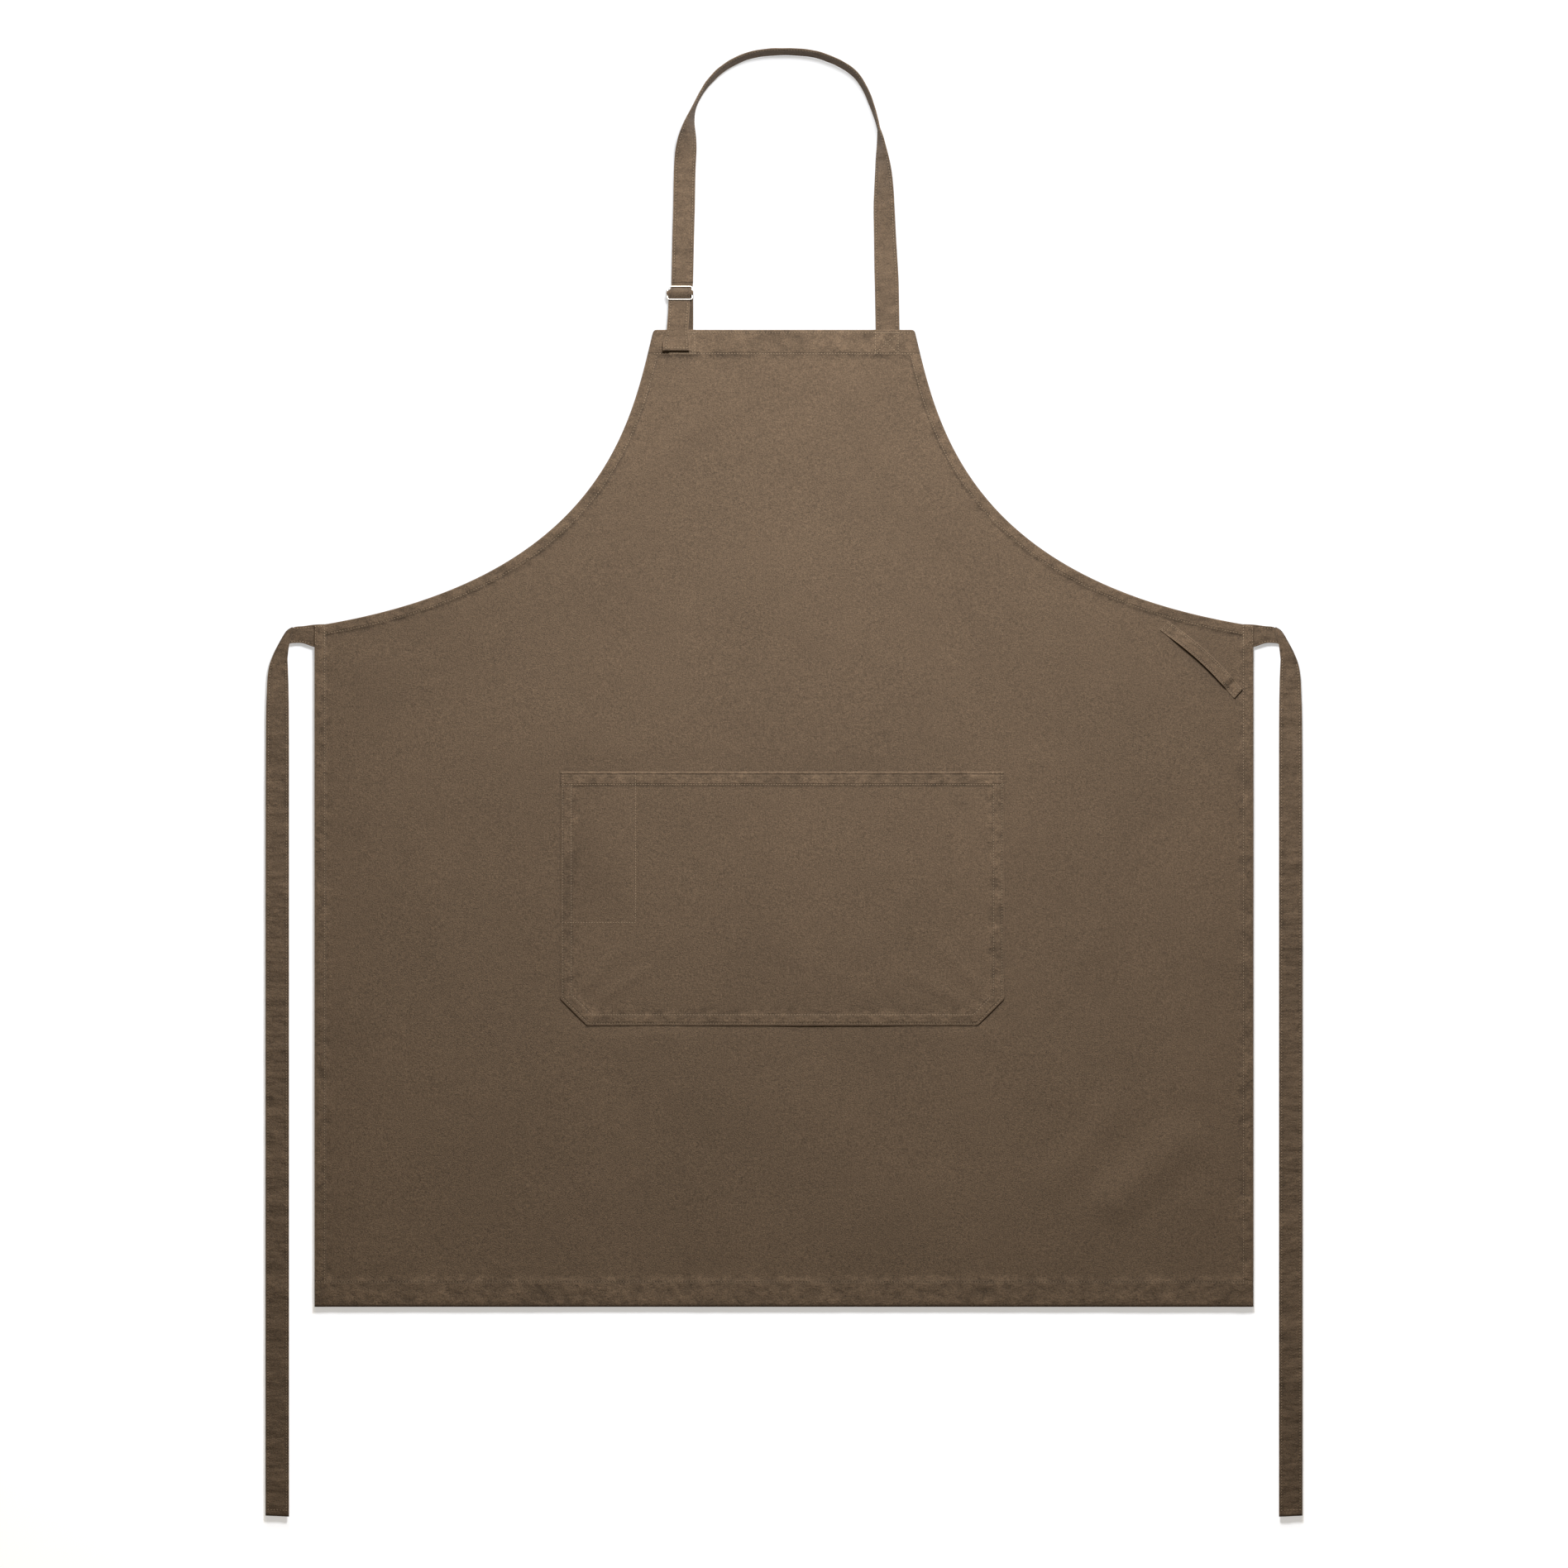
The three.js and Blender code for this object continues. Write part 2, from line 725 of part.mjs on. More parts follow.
function addCloth() {
  add('body_panel', bodyPanel(), clothMaterial());
  add('pocket_panel', pocketPanel(), clothMaterial());
  add('towel_loop', towelLoop(), clothMaterial());
  add('neck_tab', neckTab(), clothMaterial());
  add('strap_through_slide', strapThroughSlide(), clothMaterial());
  add('strap_right_end', strapRightEnd(), clothMaterial());
  add('strap_neck_loop', neckLoop(), clothMaterial());
  add('strap_tail', strapTail(), clothMaterial());
  add('waist_tie_left', waistTie(-1), clothMaterial());
  add('waist_tie_right', waistTie(1), clothMaterial());
  add('waist_tie_left_end', tieSewnEnd(-1), clothMaterial());
  add('waist_tie_right_end', tieSewnEnd(1), clothMaterial());
}

function addPanelThreads() {
  const bib = level(bibHemThickness);
  const hem = level(hemThickness);
  const topRow = bibTopY - 2.8;
  const hemRow = bibTopY - bibHem + 1;
  const across = (y, x) => polyline([vec(-x, y), vec(x, y)], 8);
  add('bib_top_stitch', threadAlong(across(topRow, halfBib - 9), bib), threadMaterial());
  add('bib_hem_stitch', threadAlong(across(hemRow, halfBib - 9), bib), threadMaterial());
  add('bottom_hem_stitch', threadAlong(across(bottomY + bottomHem - 1, halfPanel - 14), hem), threadMaterial());
  const lowest = bottomY + bottomHem - 3;
  for (const side of [-1, 1]) {
    const label = side < 0 ? 'left' : 'right';
    const arm = offsetLine(armhole(side), -side * (armholeHem - 1)).slice(3);
    const kept = arm.filter((p) => Math.abs(p.x) < halfPanel - sideHem && p.y < bibTopY - bibHem - 2);
    add(`armhole_stitch_${label}`, threadAlong(kept, hem), threadMaterial());
    const x = side * (halfPanel - sideHem + 0.7);
    const edge = polyline([vec(x, sideTopY - 14), vec(x, lowest)], 8);
    add(`side_hem_stitch_${label}`, threadAlong(edge, hem), threadMaterial());
    const tieBoxX = side * (halfPanel - 5.5);
    const box = boxAndCross(tieBoxX, tieY, 6.5, tieWidth - 5, hem);
    add(`waist_tie_${label}_box_stitch`, box, threadMaterial());
  }
  const boxY = bibTopY - 13.2;
  add('neck_tab_box_stitch', boxAndCross(leftStrapX, boxY, 17.5, 17.5, bib), threadMaterial());
  add('neck_strap_box_stitch', boxAndCross(rightStrapX, boxY, 17.5, 17.5, bib), threadMaterial());
}

function addPocketThreads() {
  const hemY = pocketTopY - pocketHem + 0.6;
  const columns = pocketRow(pocketTopY).slice(1, -1);
  const row = columns.map((x) => vec(x, hemY));
  add('pocket_hem_stitch', threadAlong(row, pocketTopZ), threadMaterial());
  add('pocket_edge_stitch', threadAlong(pocketEdgeLine(2.8), pocketTopZ), threadMaterial());
  const inner = pocketEdgeLine(11).filter((p) => p.y < hemY - 2);
  add('pocket_inner_stitch', threadAlong(inner, pocketTopZ), threadMaterial());
  const corners = [
    vec(dividerX, hemY - 2),
    vec(dividerX, dividerBottomY),
    vec(pocketLeft + 12.5, dividerBottomY),
  ];
  add('pencil_divider_stitch', threadAlong(polyline(corners, 8), pocketTopZ), threadMaterial());
  const tackX = pocketRight - 9;
  const tack = polyline([vec(tackX - 2, pocketTopY - 2), vec(tackX + 2, pocketTopY - 2)], 1);
  add('pocket_corner_tack', threadAlong(tack, pocketTopZ), threadMaterial());
}

function addStrapThreads() {
  add('neck_loop_stitch_outer', loopStitch(1), threadMaterial());
  add('neck_loop_stitch_inner', loopStitch(-1), threadMaterial());
  add('strap_tail_stitch', tailStitch(), threadMaterial());
  add('waist_tie_left_stitch', tieStitch(-1), threadMaterial());
  add('waist_tie_right_stitch', tieStitch(1), threadMaterial());
  add('towel_loop_tack_upper', towelTack(0.5), threadMaterial());
  add('towel_loop_tack_lower', towelTack(towelLoopSpan - 0.5), threadMaterial());
}

addCloth();
add('slide_buckle', slideBuckle(), nickelMaterial());
addPanelThreads();
addPocketThreads();
addStrapThreads();

export default apron;
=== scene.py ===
"""Butcher apron, laid flat and face up: the cloth, the sewing and the slide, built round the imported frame."""

import json
import math

import bmesh
import bpy
from bpy.props import FloatProperty, FloatVectorProperty, PointerProperty
from mathutils import Vector, kdtree, noise
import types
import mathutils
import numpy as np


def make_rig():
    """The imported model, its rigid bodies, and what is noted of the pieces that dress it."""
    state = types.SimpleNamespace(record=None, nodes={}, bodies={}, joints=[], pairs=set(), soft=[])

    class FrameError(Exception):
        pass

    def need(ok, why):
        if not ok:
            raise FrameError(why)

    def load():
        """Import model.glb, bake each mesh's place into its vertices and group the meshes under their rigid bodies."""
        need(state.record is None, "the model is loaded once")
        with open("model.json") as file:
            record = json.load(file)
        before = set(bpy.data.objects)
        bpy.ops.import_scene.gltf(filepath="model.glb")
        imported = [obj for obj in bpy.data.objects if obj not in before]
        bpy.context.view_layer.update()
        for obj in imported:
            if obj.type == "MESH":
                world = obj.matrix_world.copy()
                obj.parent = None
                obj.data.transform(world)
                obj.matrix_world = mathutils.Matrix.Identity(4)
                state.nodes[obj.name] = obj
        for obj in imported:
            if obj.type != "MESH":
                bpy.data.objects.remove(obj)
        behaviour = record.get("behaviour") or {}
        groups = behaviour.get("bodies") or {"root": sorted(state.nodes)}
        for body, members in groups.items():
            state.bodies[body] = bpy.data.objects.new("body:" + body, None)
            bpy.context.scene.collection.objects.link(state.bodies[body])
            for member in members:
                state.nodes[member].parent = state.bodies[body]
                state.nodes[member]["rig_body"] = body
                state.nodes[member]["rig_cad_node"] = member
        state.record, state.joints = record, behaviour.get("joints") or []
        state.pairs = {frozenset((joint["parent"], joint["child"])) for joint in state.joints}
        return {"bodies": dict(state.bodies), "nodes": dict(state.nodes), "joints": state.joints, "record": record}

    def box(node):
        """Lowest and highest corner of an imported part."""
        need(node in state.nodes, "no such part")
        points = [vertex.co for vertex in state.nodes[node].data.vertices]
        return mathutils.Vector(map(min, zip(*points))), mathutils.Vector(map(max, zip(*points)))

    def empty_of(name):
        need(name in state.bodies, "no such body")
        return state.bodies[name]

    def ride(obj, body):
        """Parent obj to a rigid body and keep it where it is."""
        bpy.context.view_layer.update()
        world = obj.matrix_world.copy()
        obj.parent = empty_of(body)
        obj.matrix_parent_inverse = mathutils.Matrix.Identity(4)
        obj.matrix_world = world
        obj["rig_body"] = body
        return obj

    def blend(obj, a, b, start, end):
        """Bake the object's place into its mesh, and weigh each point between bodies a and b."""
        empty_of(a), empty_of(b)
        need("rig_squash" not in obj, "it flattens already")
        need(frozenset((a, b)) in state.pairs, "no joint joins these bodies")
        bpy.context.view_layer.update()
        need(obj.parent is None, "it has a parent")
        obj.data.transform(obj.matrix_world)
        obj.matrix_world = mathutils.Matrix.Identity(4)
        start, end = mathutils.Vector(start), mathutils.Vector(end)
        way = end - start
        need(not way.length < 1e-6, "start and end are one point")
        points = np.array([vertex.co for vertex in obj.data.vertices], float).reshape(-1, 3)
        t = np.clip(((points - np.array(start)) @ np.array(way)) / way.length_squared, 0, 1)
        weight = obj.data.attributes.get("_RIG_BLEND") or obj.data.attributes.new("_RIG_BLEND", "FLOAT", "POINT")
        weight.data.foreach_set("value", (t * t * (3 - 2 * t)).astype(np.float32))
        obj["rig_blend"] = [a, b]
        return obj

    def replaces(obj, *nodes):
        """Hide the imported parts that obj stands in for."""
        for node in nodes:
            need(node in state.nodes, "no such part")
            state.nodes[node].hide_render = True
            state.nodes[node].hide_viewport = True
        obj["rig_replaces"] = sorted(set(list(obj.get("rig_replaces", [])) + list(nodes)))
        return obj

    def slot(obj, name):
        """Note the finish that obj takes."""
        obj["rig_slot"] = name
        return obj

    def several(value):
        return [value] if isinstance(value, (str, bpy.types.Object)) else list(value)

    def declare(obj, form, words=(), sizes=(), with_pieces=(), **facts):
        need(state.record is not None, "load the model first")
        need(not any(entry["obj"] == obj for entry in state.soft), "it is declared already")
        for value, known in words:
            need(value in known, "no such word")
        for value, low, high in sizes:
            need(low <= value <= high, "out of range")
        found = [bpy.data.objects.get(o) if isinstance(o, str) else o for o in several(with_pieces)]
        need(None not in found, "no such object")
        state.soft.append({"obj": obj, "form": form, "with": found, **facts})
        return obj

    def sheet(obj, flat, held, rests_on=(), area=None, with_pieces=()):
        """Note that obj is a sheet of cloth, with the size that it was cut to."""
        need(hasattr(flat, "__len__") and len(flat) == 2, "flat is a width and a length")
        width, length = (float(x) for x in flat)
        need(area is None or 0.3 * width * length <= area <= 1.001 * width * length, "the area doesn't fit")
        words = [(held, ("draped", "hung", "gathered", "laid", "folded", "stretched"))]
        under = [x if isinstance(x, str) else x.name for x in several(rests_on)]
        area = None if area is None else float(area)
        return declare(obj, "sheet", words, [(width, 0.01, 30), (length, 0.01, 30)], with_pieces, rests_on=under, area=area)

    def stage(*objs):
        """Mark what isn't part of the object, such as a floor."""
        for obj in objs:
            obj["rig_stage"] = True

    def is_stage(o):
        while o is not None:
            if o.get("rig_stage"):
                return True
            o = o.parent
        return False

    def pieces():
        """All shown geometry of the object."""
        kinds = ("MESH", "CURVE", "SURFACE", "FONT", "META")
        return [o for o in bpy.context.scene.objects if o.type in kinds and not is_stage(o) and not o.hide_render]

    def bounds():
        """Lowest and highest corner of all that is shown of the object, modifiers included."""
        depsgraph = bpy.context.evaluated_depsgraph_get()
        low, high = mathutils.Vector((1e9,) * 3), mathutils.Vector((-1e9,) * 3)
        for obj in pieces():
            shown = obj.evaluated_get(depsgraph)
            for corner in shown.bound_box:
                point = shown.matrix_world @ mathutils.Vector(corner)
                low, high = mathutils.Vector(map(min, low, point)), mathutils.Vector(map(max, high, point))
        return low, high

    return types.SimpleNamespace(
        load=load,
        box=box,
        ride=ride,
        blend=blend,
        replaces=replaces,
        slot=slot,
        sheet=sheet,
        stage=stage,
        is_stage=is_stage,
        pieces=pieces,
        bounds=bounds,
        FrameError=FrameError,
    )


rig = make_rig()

bl_info = {
    "name": "Butcher Apron",
    "version": (1, 0, 0),
    "blender": (4, 5, 0),
    "location": "View3D > Sidebar > Apron",
    "description": "Builds a canvas bib apron with its straps, pocket, sewing and slide",
    "category": "Add Mesh",
}

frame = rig.load()
cad_low, cad_high = (list(corner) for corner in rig.bounds())

MM = 0.001

# The stage: its size and the lamp in metres, and the floor's height in millimetres.
STAGE_SIZE = 9.0
LAMP = Vector((0.1, 0.92, 1.1))
LAMP_AIM = Vector((0.05, -0.9, 0.0))
FLOOR_Z = -3.5
LAMP_SHARE = 0.82
FLOOR_SHADE = 0.37


def box_mm(node):
    """Lowest and highest corner of a CAD node, in millimetres."""
    low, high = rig.box(node)
    return Vector(low) / MM, Vector(high) / MM


PANEL_LOW, PANEL_HIGH = box_mm("body_panel")
POCKET_LOW, POCKET_HIGH = box_mm("pocket_panel")
SLIDE_LOW, SLIDE_HIGH = box_mm("slide_buckle")
TAB_LOW, TAB_HIGH = box_mm("neck_tab")
TAIL_LOW, TAIL_HIGH = box_mm("strap_tail")
LOOP_HIGH = box_mm("strap_neck_loop")[1]
RIGHT_END_LOW, RIGHT_END_HIGH = box_mm("strap_right_end")
TIE_LOW, TIE_HIGH = box_mm("waist_tie_right")
TOWEL_LOW, TOWEL_HIGH = box_mm("towel_loop")
DIVIDER_LOW, DIVIDER_HIGH = box_mm("pencil_divider_stitch")

HALF_PANEL = PANEL_HIGH.x
BIB_TOP = PANEL_HIGH.y
BOTTOM = PANEL_LOW.y
TIE_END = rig.box("waist_tie_right_end")
SIDE_TOP = (TIE_END[0][1] + TIE_END[1][1]) / 2 / MM + 9.6
HALF_BIB = 126.2
FOLD_Y = next(j["pos_m"][1] for j in frame["joints"] if j["name"] == "neck_loop_fold") / MM

# Thickness of one layer of cloth, of the folded layers of a hem, and of the doubled strips.
CLOTH = 0.8
HEM_LIFT = 1.3
STRAP = 1.3
TOWEL_THICK = 1.3
TAB_THICK = 1.15

# Widths of the turned edges and of the strips.
BIB_HEM = 24.0
BOTTOM_HEM = 25.0
SIDE_HEM = 10.5
ARM_HEM = 10.0
POCKET_HEM = 13.6
POCKET_SEAM = 12.2
STRAP_HEM = 2.9
STRAP_WIDTH = 21
TAB_WIDTH = 20.2
TIE_WIDTH = 22.8
TOWEL_WIDTH = 12.0

# The pocket's cut corners, and how far a sewing row lies from a strap's middle and above its cloth.
CUT = 26.0
ROW_OFFSET = 8.2
ROW_LIFT = 0.1


class ApronSizes(bpy.types.PropertyGroup):
    """Sizes of the sewing and the weave."""

    stitch_pitch: FloatProperty(
        name="Stitch pitch", description="Distance from one stitch to the next",
        default=0.0027, min=0.001, subtype="DISTANCE", unit="LENGTH")
    stitch_length: FloatProperty(
        name="Stitch length", description="Length of thread that shows in one stitch",
        default=0.00165, min=0.0005, subtype="DISTANCE", unit="LENGTH")
    thread_width: FloatProperty(
        name="Thread width", description="Width of the sewing thread",
        default=0.00068, min=0.0001, subtype="DISTANCE", unit="LENGTH")
    weave_pitch: FloatProperty(
        name="Weave pitch", description="Distance between the yarns of the canvas",
        default=0.0007, min=0.0002, subtype="DISTANCE", unit="LENGTH")
    wire: FloatProperty(
        name="Slide wire", description="Thickness of the slide's wire",
        default=0.0016, min=0.0005, subtype="DISTANCE", unit="LENGTH")


class ApronColours(bpy.types.PropertyGroup):
    """Colours of the cloth, the thread and the slide."""

    canvas: FloatVectorProperty(
        name="Canvas", description="Washed brown canvas", subtype="COLOR", size=3,
        default=(0.1150, 0.0785, 0.0502), min=0.0, max=1.0)
    thread: FloatVectorProperty(
        name="Thread", description="Sewing thread, a little lighter than the cloth", subtype="COLOR",
        size=3, default=(0.225, 0.164, 0.110), min=0.0, max=1.0)
    nickel: FloatVectorProperty(
        name="Nickel", description="Plating of the slide", subtype="COLOR", size=3,
        default=(0.12, 0.098, 0.07), min=0.0, max=1.0)
    floor: FloatVectorProperty(
        name="Floor", description="Pale floor under the apron", subtype="COLOR", size=3,
        default=(0.93, 0.95, 1.0), min=0.0, max=1.0)


# ---- small maths ----


def smooth(value):
    """Eased step from 0 to 1."""
    value = min(1.0, max(0.0, value))
    return value * value * (3 - 2 * value)


def hump(value):
    """1 at the middle and 0 from one unit away."""
    return smooth(1 - abs(value))


def wander(x, y, size, seed):
    """Smooth noise from -1 to 1 with lumps of about the given size."""
    return noise.noise(Vector((x / size, y / size, seed)))


def spline(keys, count):
    """Points on one smooth curve through keys, which are equally long lists of numbers."""
    out = []
    last = len(keys) - 1
    for step in range(count + 1):
        place = step / count * last
        i = min(int(place), last - 1)
        f = place - i
        before, a, b, after = keys[max(0, i - 1)], keys[i], keys[i + 1], keys[min(last, i + 2)]
        point = []
        for p, q, r, s in zip(before, a, b, after):
            point.append(0.5 * (2 * q + (r - p) * f + (2 * p - 5 * q + 4 * r - s) * f * f
                                + (3 * q - p - 3 * r + s) * f ** 3))
        out.append(point)
    return out


def spaced(points, gap):
    """The same line with its points about one gap apart."""
    lengths = [0.0]
    for a, b in zip(points, points[1:]):
        lengths.append(lengths[-1] + math.dist(a[:3], b[:3]))
    count = max(2, round(lengths[-1] / gap))
    out, i = [], 0
    for step in range(count + 1):
        want = lengths[-1] * step / count
        while i < len(points) - 2 and lengths[i + 1] < want:
            i += 1
        f = (want - lengths[i]) / max(1e-9, lengths[i + 1] - lengths[i])
        out.append([a + (b - a) * f for a, b in zip(points[i], points[i + 1])])
    return out


# ---- the panel's outline ----


def armhole_point(t):
    """Right armhole edge from the bib (0) to the side (1)."""
    across, drop = HALF_PANEL - HALF_BIB, BIB_TOP - SIDE_TOP
    xs = HALF_BIB, HALF_BIB + 0.064 * across, HALF_BIB + 0.14 * across, HALF_PANEL
    ys = BIB_TOP, BIB_TOP - 0.3 * drop, BIB_TOP - 0.845 * drop, SIDE_TOP
    weights = (1 - t) ** 3, 3 * (1 - t) ** 2 * t, 3 * (1 - t) * t * t, t ** 3
    return (sum(w * x for w, x in zip(weights, xs)), sum(w * y for w, y in zip(weights, ys)))


ARMHOLE = spaced([armhole_point(i / 600) for i in range(601)], 1.0)
ARM_TREE = kdtree.KDTree(len(ARMHOLE))
for index, place in enumerate(ARMHOLE):
    ARM_TREE.insert((*place, 0.0), index)
ARM_TREE.balance()


def panel_edges(x, y):
    """For each kind of edge: its distance, the place along it, its hem's width and a seed."""
    side = 1.0 if x > 0 else 6.0
    _, i, arm = ARM_TREE.find((abs(x), y, 0))
    return (
        (HALF_PANEL - abs(x) if y < SIDE_TOP else 99.0, y, SIDE_HEM, side),
        (arm, i * 1.0, ARM_HEM, side + 1),
        (y - BOTTOM, x, BOTTOM_HEM, 2.5),
        (BIB_TOP - y, x, BIB_HEM, 3.5),
    )


def own_hem(y, edges):
    """The edge whose hem a point belongs to; the top and bottom hems run over the others."""
    if y > BIB_TOP - BIB_HEM - 0.6:
        return edges[3]
    if y < BOTTOM + BOTTOM_HEM + 0.6:
        return edges[2]
    return min(edges, key=lambda edge: edge[0] - edge[2])


def fold(x, y, start, end, width, height):
    """A soft fold in the cloth along the line from start to end."""
    a, b = Vector(start), Vector(end)
    along = b - a
    t = min(1.0, max(0.0, (Vector((x, y)) - a).dot(along) / along.length_squared))
    away = (Vector((x, y)) - a - along * t).length / width
    return height * hump(away) * smooth(4 * t + 0.3) * smooth(4 * (1 - t) + 0.3)


def over_strip(x, y, centre, half, low_y, lift):
    """How far the cloth is pushed up by a strap end sewn behind it."""
    beside = smooth((half + 2.2 - abs(x - centre)) / 2.6)
    return lift * beside * smooth((y - low_y + 2) / 3)


TAB_X = (TAB_LOW.x + TAB_HIGH.x) / 2
RIGHT_X = (RIGHT_END_LOW.x + RIGHT_END_HIGH.x) / 2


def panel_top(x, y):
    """Height of the front of the panel."""
    edges = panel_edges(x, y)
    lift, ripple, calm = 0.0, 0.0, 1.0
    for distance, along, hem, seed in edges:
        if distance > 90:
            continue
        lift = max(lift, smooth((hem + 0.9 - distance) / 1.5))
        near = math.exp(-max(0.0, distance - hem) / 11) * smooth(distance / 4 + 0.25)
        ripple += near * (0.6 * wander(along, distance * 0.45, 8.5, seed)
                          + 0.4 * wander(along, distance * 0.3, 19, seed + 4))
        calm = min(calm, smooth(distance / 60))
    under = smooth((x - POCKET_LOW.x + 12) / 24) * smooth((POCKET_HIGH.x + 12 - x) / 24)
    under *= smooth((y - POCKET_LOW.y + 12) / 24) * smooth((POCKET_HIGH.y + 24 - y) / 30)
    free = (1 - under) * (0.25 + 0.75 * calm)
    broad = 1.5 * wander(x, y, 140, 0.3) + 0.8 * wander(x, y, 55, 5.1) + 0.9
    broad += 0.25 * wander(x * 1.6, y, 17, 2.2)
    broad += fold(x, y, (300, -420), (405, -330), 34, 3.2) + fold(x, y, (250, -400), (330, -300), 26, 1.6)
    broad += fold(x, y, (-100, 330), (-60, 400), 20, 1.2) + fold(x, y, (95, 300), (60, 395), 18, 0.9)
    broad += fold(x, y, (-150, 285), (-45, 380), 24, 1.3) + fold(x, y, (-128, 352), (-74, 408), 13, 0.8)
    broad += fold(x, y, (-330, -60), (-350, -260), 22, 1.2) + fold(x, y, (320, 20), (300, -180), 26, 1.3)
    z = CLOTH + 0.1 + lift * HEM_LIFT + ripple + max(0.0, broad * free)
    z += over_strip(x, y, TAB_X, 11, BIB_TOP - 24, 1.5) + over_strip(x, y, RIGHT_X, 12, BIB_TOP - 24, 0.9)
    if abs(x) > HALF_PANEL - 12:
        z += 0.7 * smooth((y - SIDE_TOP + 22) / 3) * smooth((abs(x) - HALF_PANEL + 11.5) / 2)
    return max(CLOTH, min(z, 5.4))


# ---- mesh helpers ----


def linked(name, data):
    """A new object in the scene."""
    piece = bpy.data.objects.new(name, data)
    bpy.context.scene.collection.objects.link(piece)
    return piece


def new_object(name, vertices, faces, attributes=None, edges=()):
    """A mesh object at the origin, given millimetres."""
    mesh = bpy.data.meshes.new(name)
    mesh.from_pydata([(x * MM, y * MM, z * MM) for x, y, z in vertices], list(edges), faces)
    for key, values in (attributes or {}).items():
        if hasattr(values[0], "__len__"):
            layer = mesh.attributes.new(key, "FLOAT_VECTOR", "POINT")
            layer.data.foreach_set("vector", [c for v in values for c in v])
        else:
            layer = mesh.attributes.new(key, "FLOAT", "POINT")
            layer.data.foreach_set("value", values)
    mesh.polygons.foreach_set("use_smooth", [True] * len(faces))
    mesh.update()
    return linked(name, mesh)


def turned_out(piece):
    """Turns the piece's faces outwards if they point in."""
    mesh = piece.data
    volume = 0.0
    for face in mesh.polygons:
        corners = [mesh.vertices[i].co for i in face.vertices]
        for b, c in zip(corners[1:], corners[2:]):
            volume += corners[0].dot(b.cross(c))
    if volume < 0:
        mesh.flip_normals()
    return piece


def cloth_object(name, rows):
    """A closed piece of cloth from rows of (front point, back point, distance from the edge, hem width)."""
    height, width = len(rows), len(rows[0])
    fronts, backs, distances, hems = zip(*(point for row in rows for point in row))
    back = height * width
    faces = []
    for r in range(height - 1):
        for c in range(width - 1):
            a, b = r * width + c, (r + 1) * width + c
            faces.append((a, b, b + 1, a + 1))
            faces.append((back + a, back + a + 1, back + b + 1, back + b))
    rim = list(range(width))
    rim += [r * width + width - 1 for r in range(1, height)]
    rim += [(height - 1) * width + c for c in range(width - 2, -1, -1)]
    rim += [r * width for r in range(height - 2, 0, -1)]
    for a, b in zip(rim, rim[1:] + rim[:1]):
        faces.append((a, b, back + b, back + a))
    attributes = {"edge_distance": distances * 2, "hem_width": hems * 2}
    return turned_out(new_object(name, fronts + backs, faces, attributes))


# ---- materials ----


def feed(socket, value):
    """Links a signal to an input, or sets the input to a constant."""
    if isinstance(value, Signal):
        value.tree.links.new(value.socket, socket)
    else:
        socket.default_value = value


def maths(tree, operation, *values):
    """One Math node of signals and numbers."""
    node = tree.nodes.new("ShaderNodeMath")
    node.operation = operation
    for socket, value in zip(node.inputs, values):
        feed(socket, value)
    return Signal(tree, node.outputs[0])


class Signal:
    """A value in a shader tree; arithmetic with it adds Math nodes."""

    def __init__(self, tree, socket):
        self.tree, self.socket = tree, socket

    def __add__(self, other):
        return maths(self.tree, "ADD", self, other)

    def __sub__(self, other):
        return maths(self.tree, "SUBTRACT", self, other)

    def __mul__(self, other):
        return maths(self.tree, "MULTIPLY", self, other)

    def __truediv__(self, other):
        return maths(self.tree, "DIVIDE", self, other)

    def __abs__(self):
        return maths(self.tree, "ABSOLUTE", self)

    def ramp(self, low, high, start=1.0, end=0.0):
        """Eased change from start to end while this value goes from low to high."""
        node = self.tree.nodes.new("ShaderNodeMapRange")
        node.interpolation_type = "SMOOTHSTEP"
        names = "Value", "From Min", "From Max", "To Min", "To Max"
        for key, value in zip(names, (self, low, high, start, end)):
            feed(node.inputs[key], value)
        return Signal(self.tree, node.outputs["Result"])

    def noise(self, scale, detail=2.0, rough=0.5):
        """Noise at this place, with its scale in lumps per metre."""
        node = self.tree.nodes.new("ShaderNodeTexNoise")
        for key, value in zip(("Vector", "Scale", "Detail", "Roughness"), (self, scale, detail, rough)):
            feed(node.inputs[key], value)
        return Signal(self.tree, node.outputs["Fac"])

    def vector(self, operation, other=(0, 0, 0), output="Vector"):
        """One Vector Math node of this value and a constant."""
        node = self.tree.nodes.new("ShaderNodeVectorMath")
        node.operation = operation
        feed(node.inputs[0], self)
        node.inputs[1].default_value = other
        return Signal(self.tree, node.outputs[output])


def object_place(tree):
    """Place in the piece's own coordinates."""
    return Signal(tree, tree.nodes.new("ShaderNodeTexCoord").outputs["Object"])


def group_tree(name, inputs, outputs=("Shade", "Height")):
    """Shader group with named sockets; returns it with its inputs as signals and its output sockets."""
    tree = bpy.data.node_groups.new(name, "ShaderNodeTree")
    for label, default in inputs.items():
        kind = "NodeSocketVector" if default is None else "NodeSocketFloat"
        socket = tree.interface.new_socket(label, in_out="INPUT", socket_type=kind)
        if default is not None:
            socket.default_value = default
    for label in outputs:
        tree.interface.new_socket(label, in_out="OUTPUT", socket_type="NodeSocketFloat")
    given, out = tree.nodes.new("NodeGroupInput"), tree.nodes.new("NodeGroupOutput")
    return tree, [Signal(tree, given.outputs[label]) for label in inputs], out.inputs


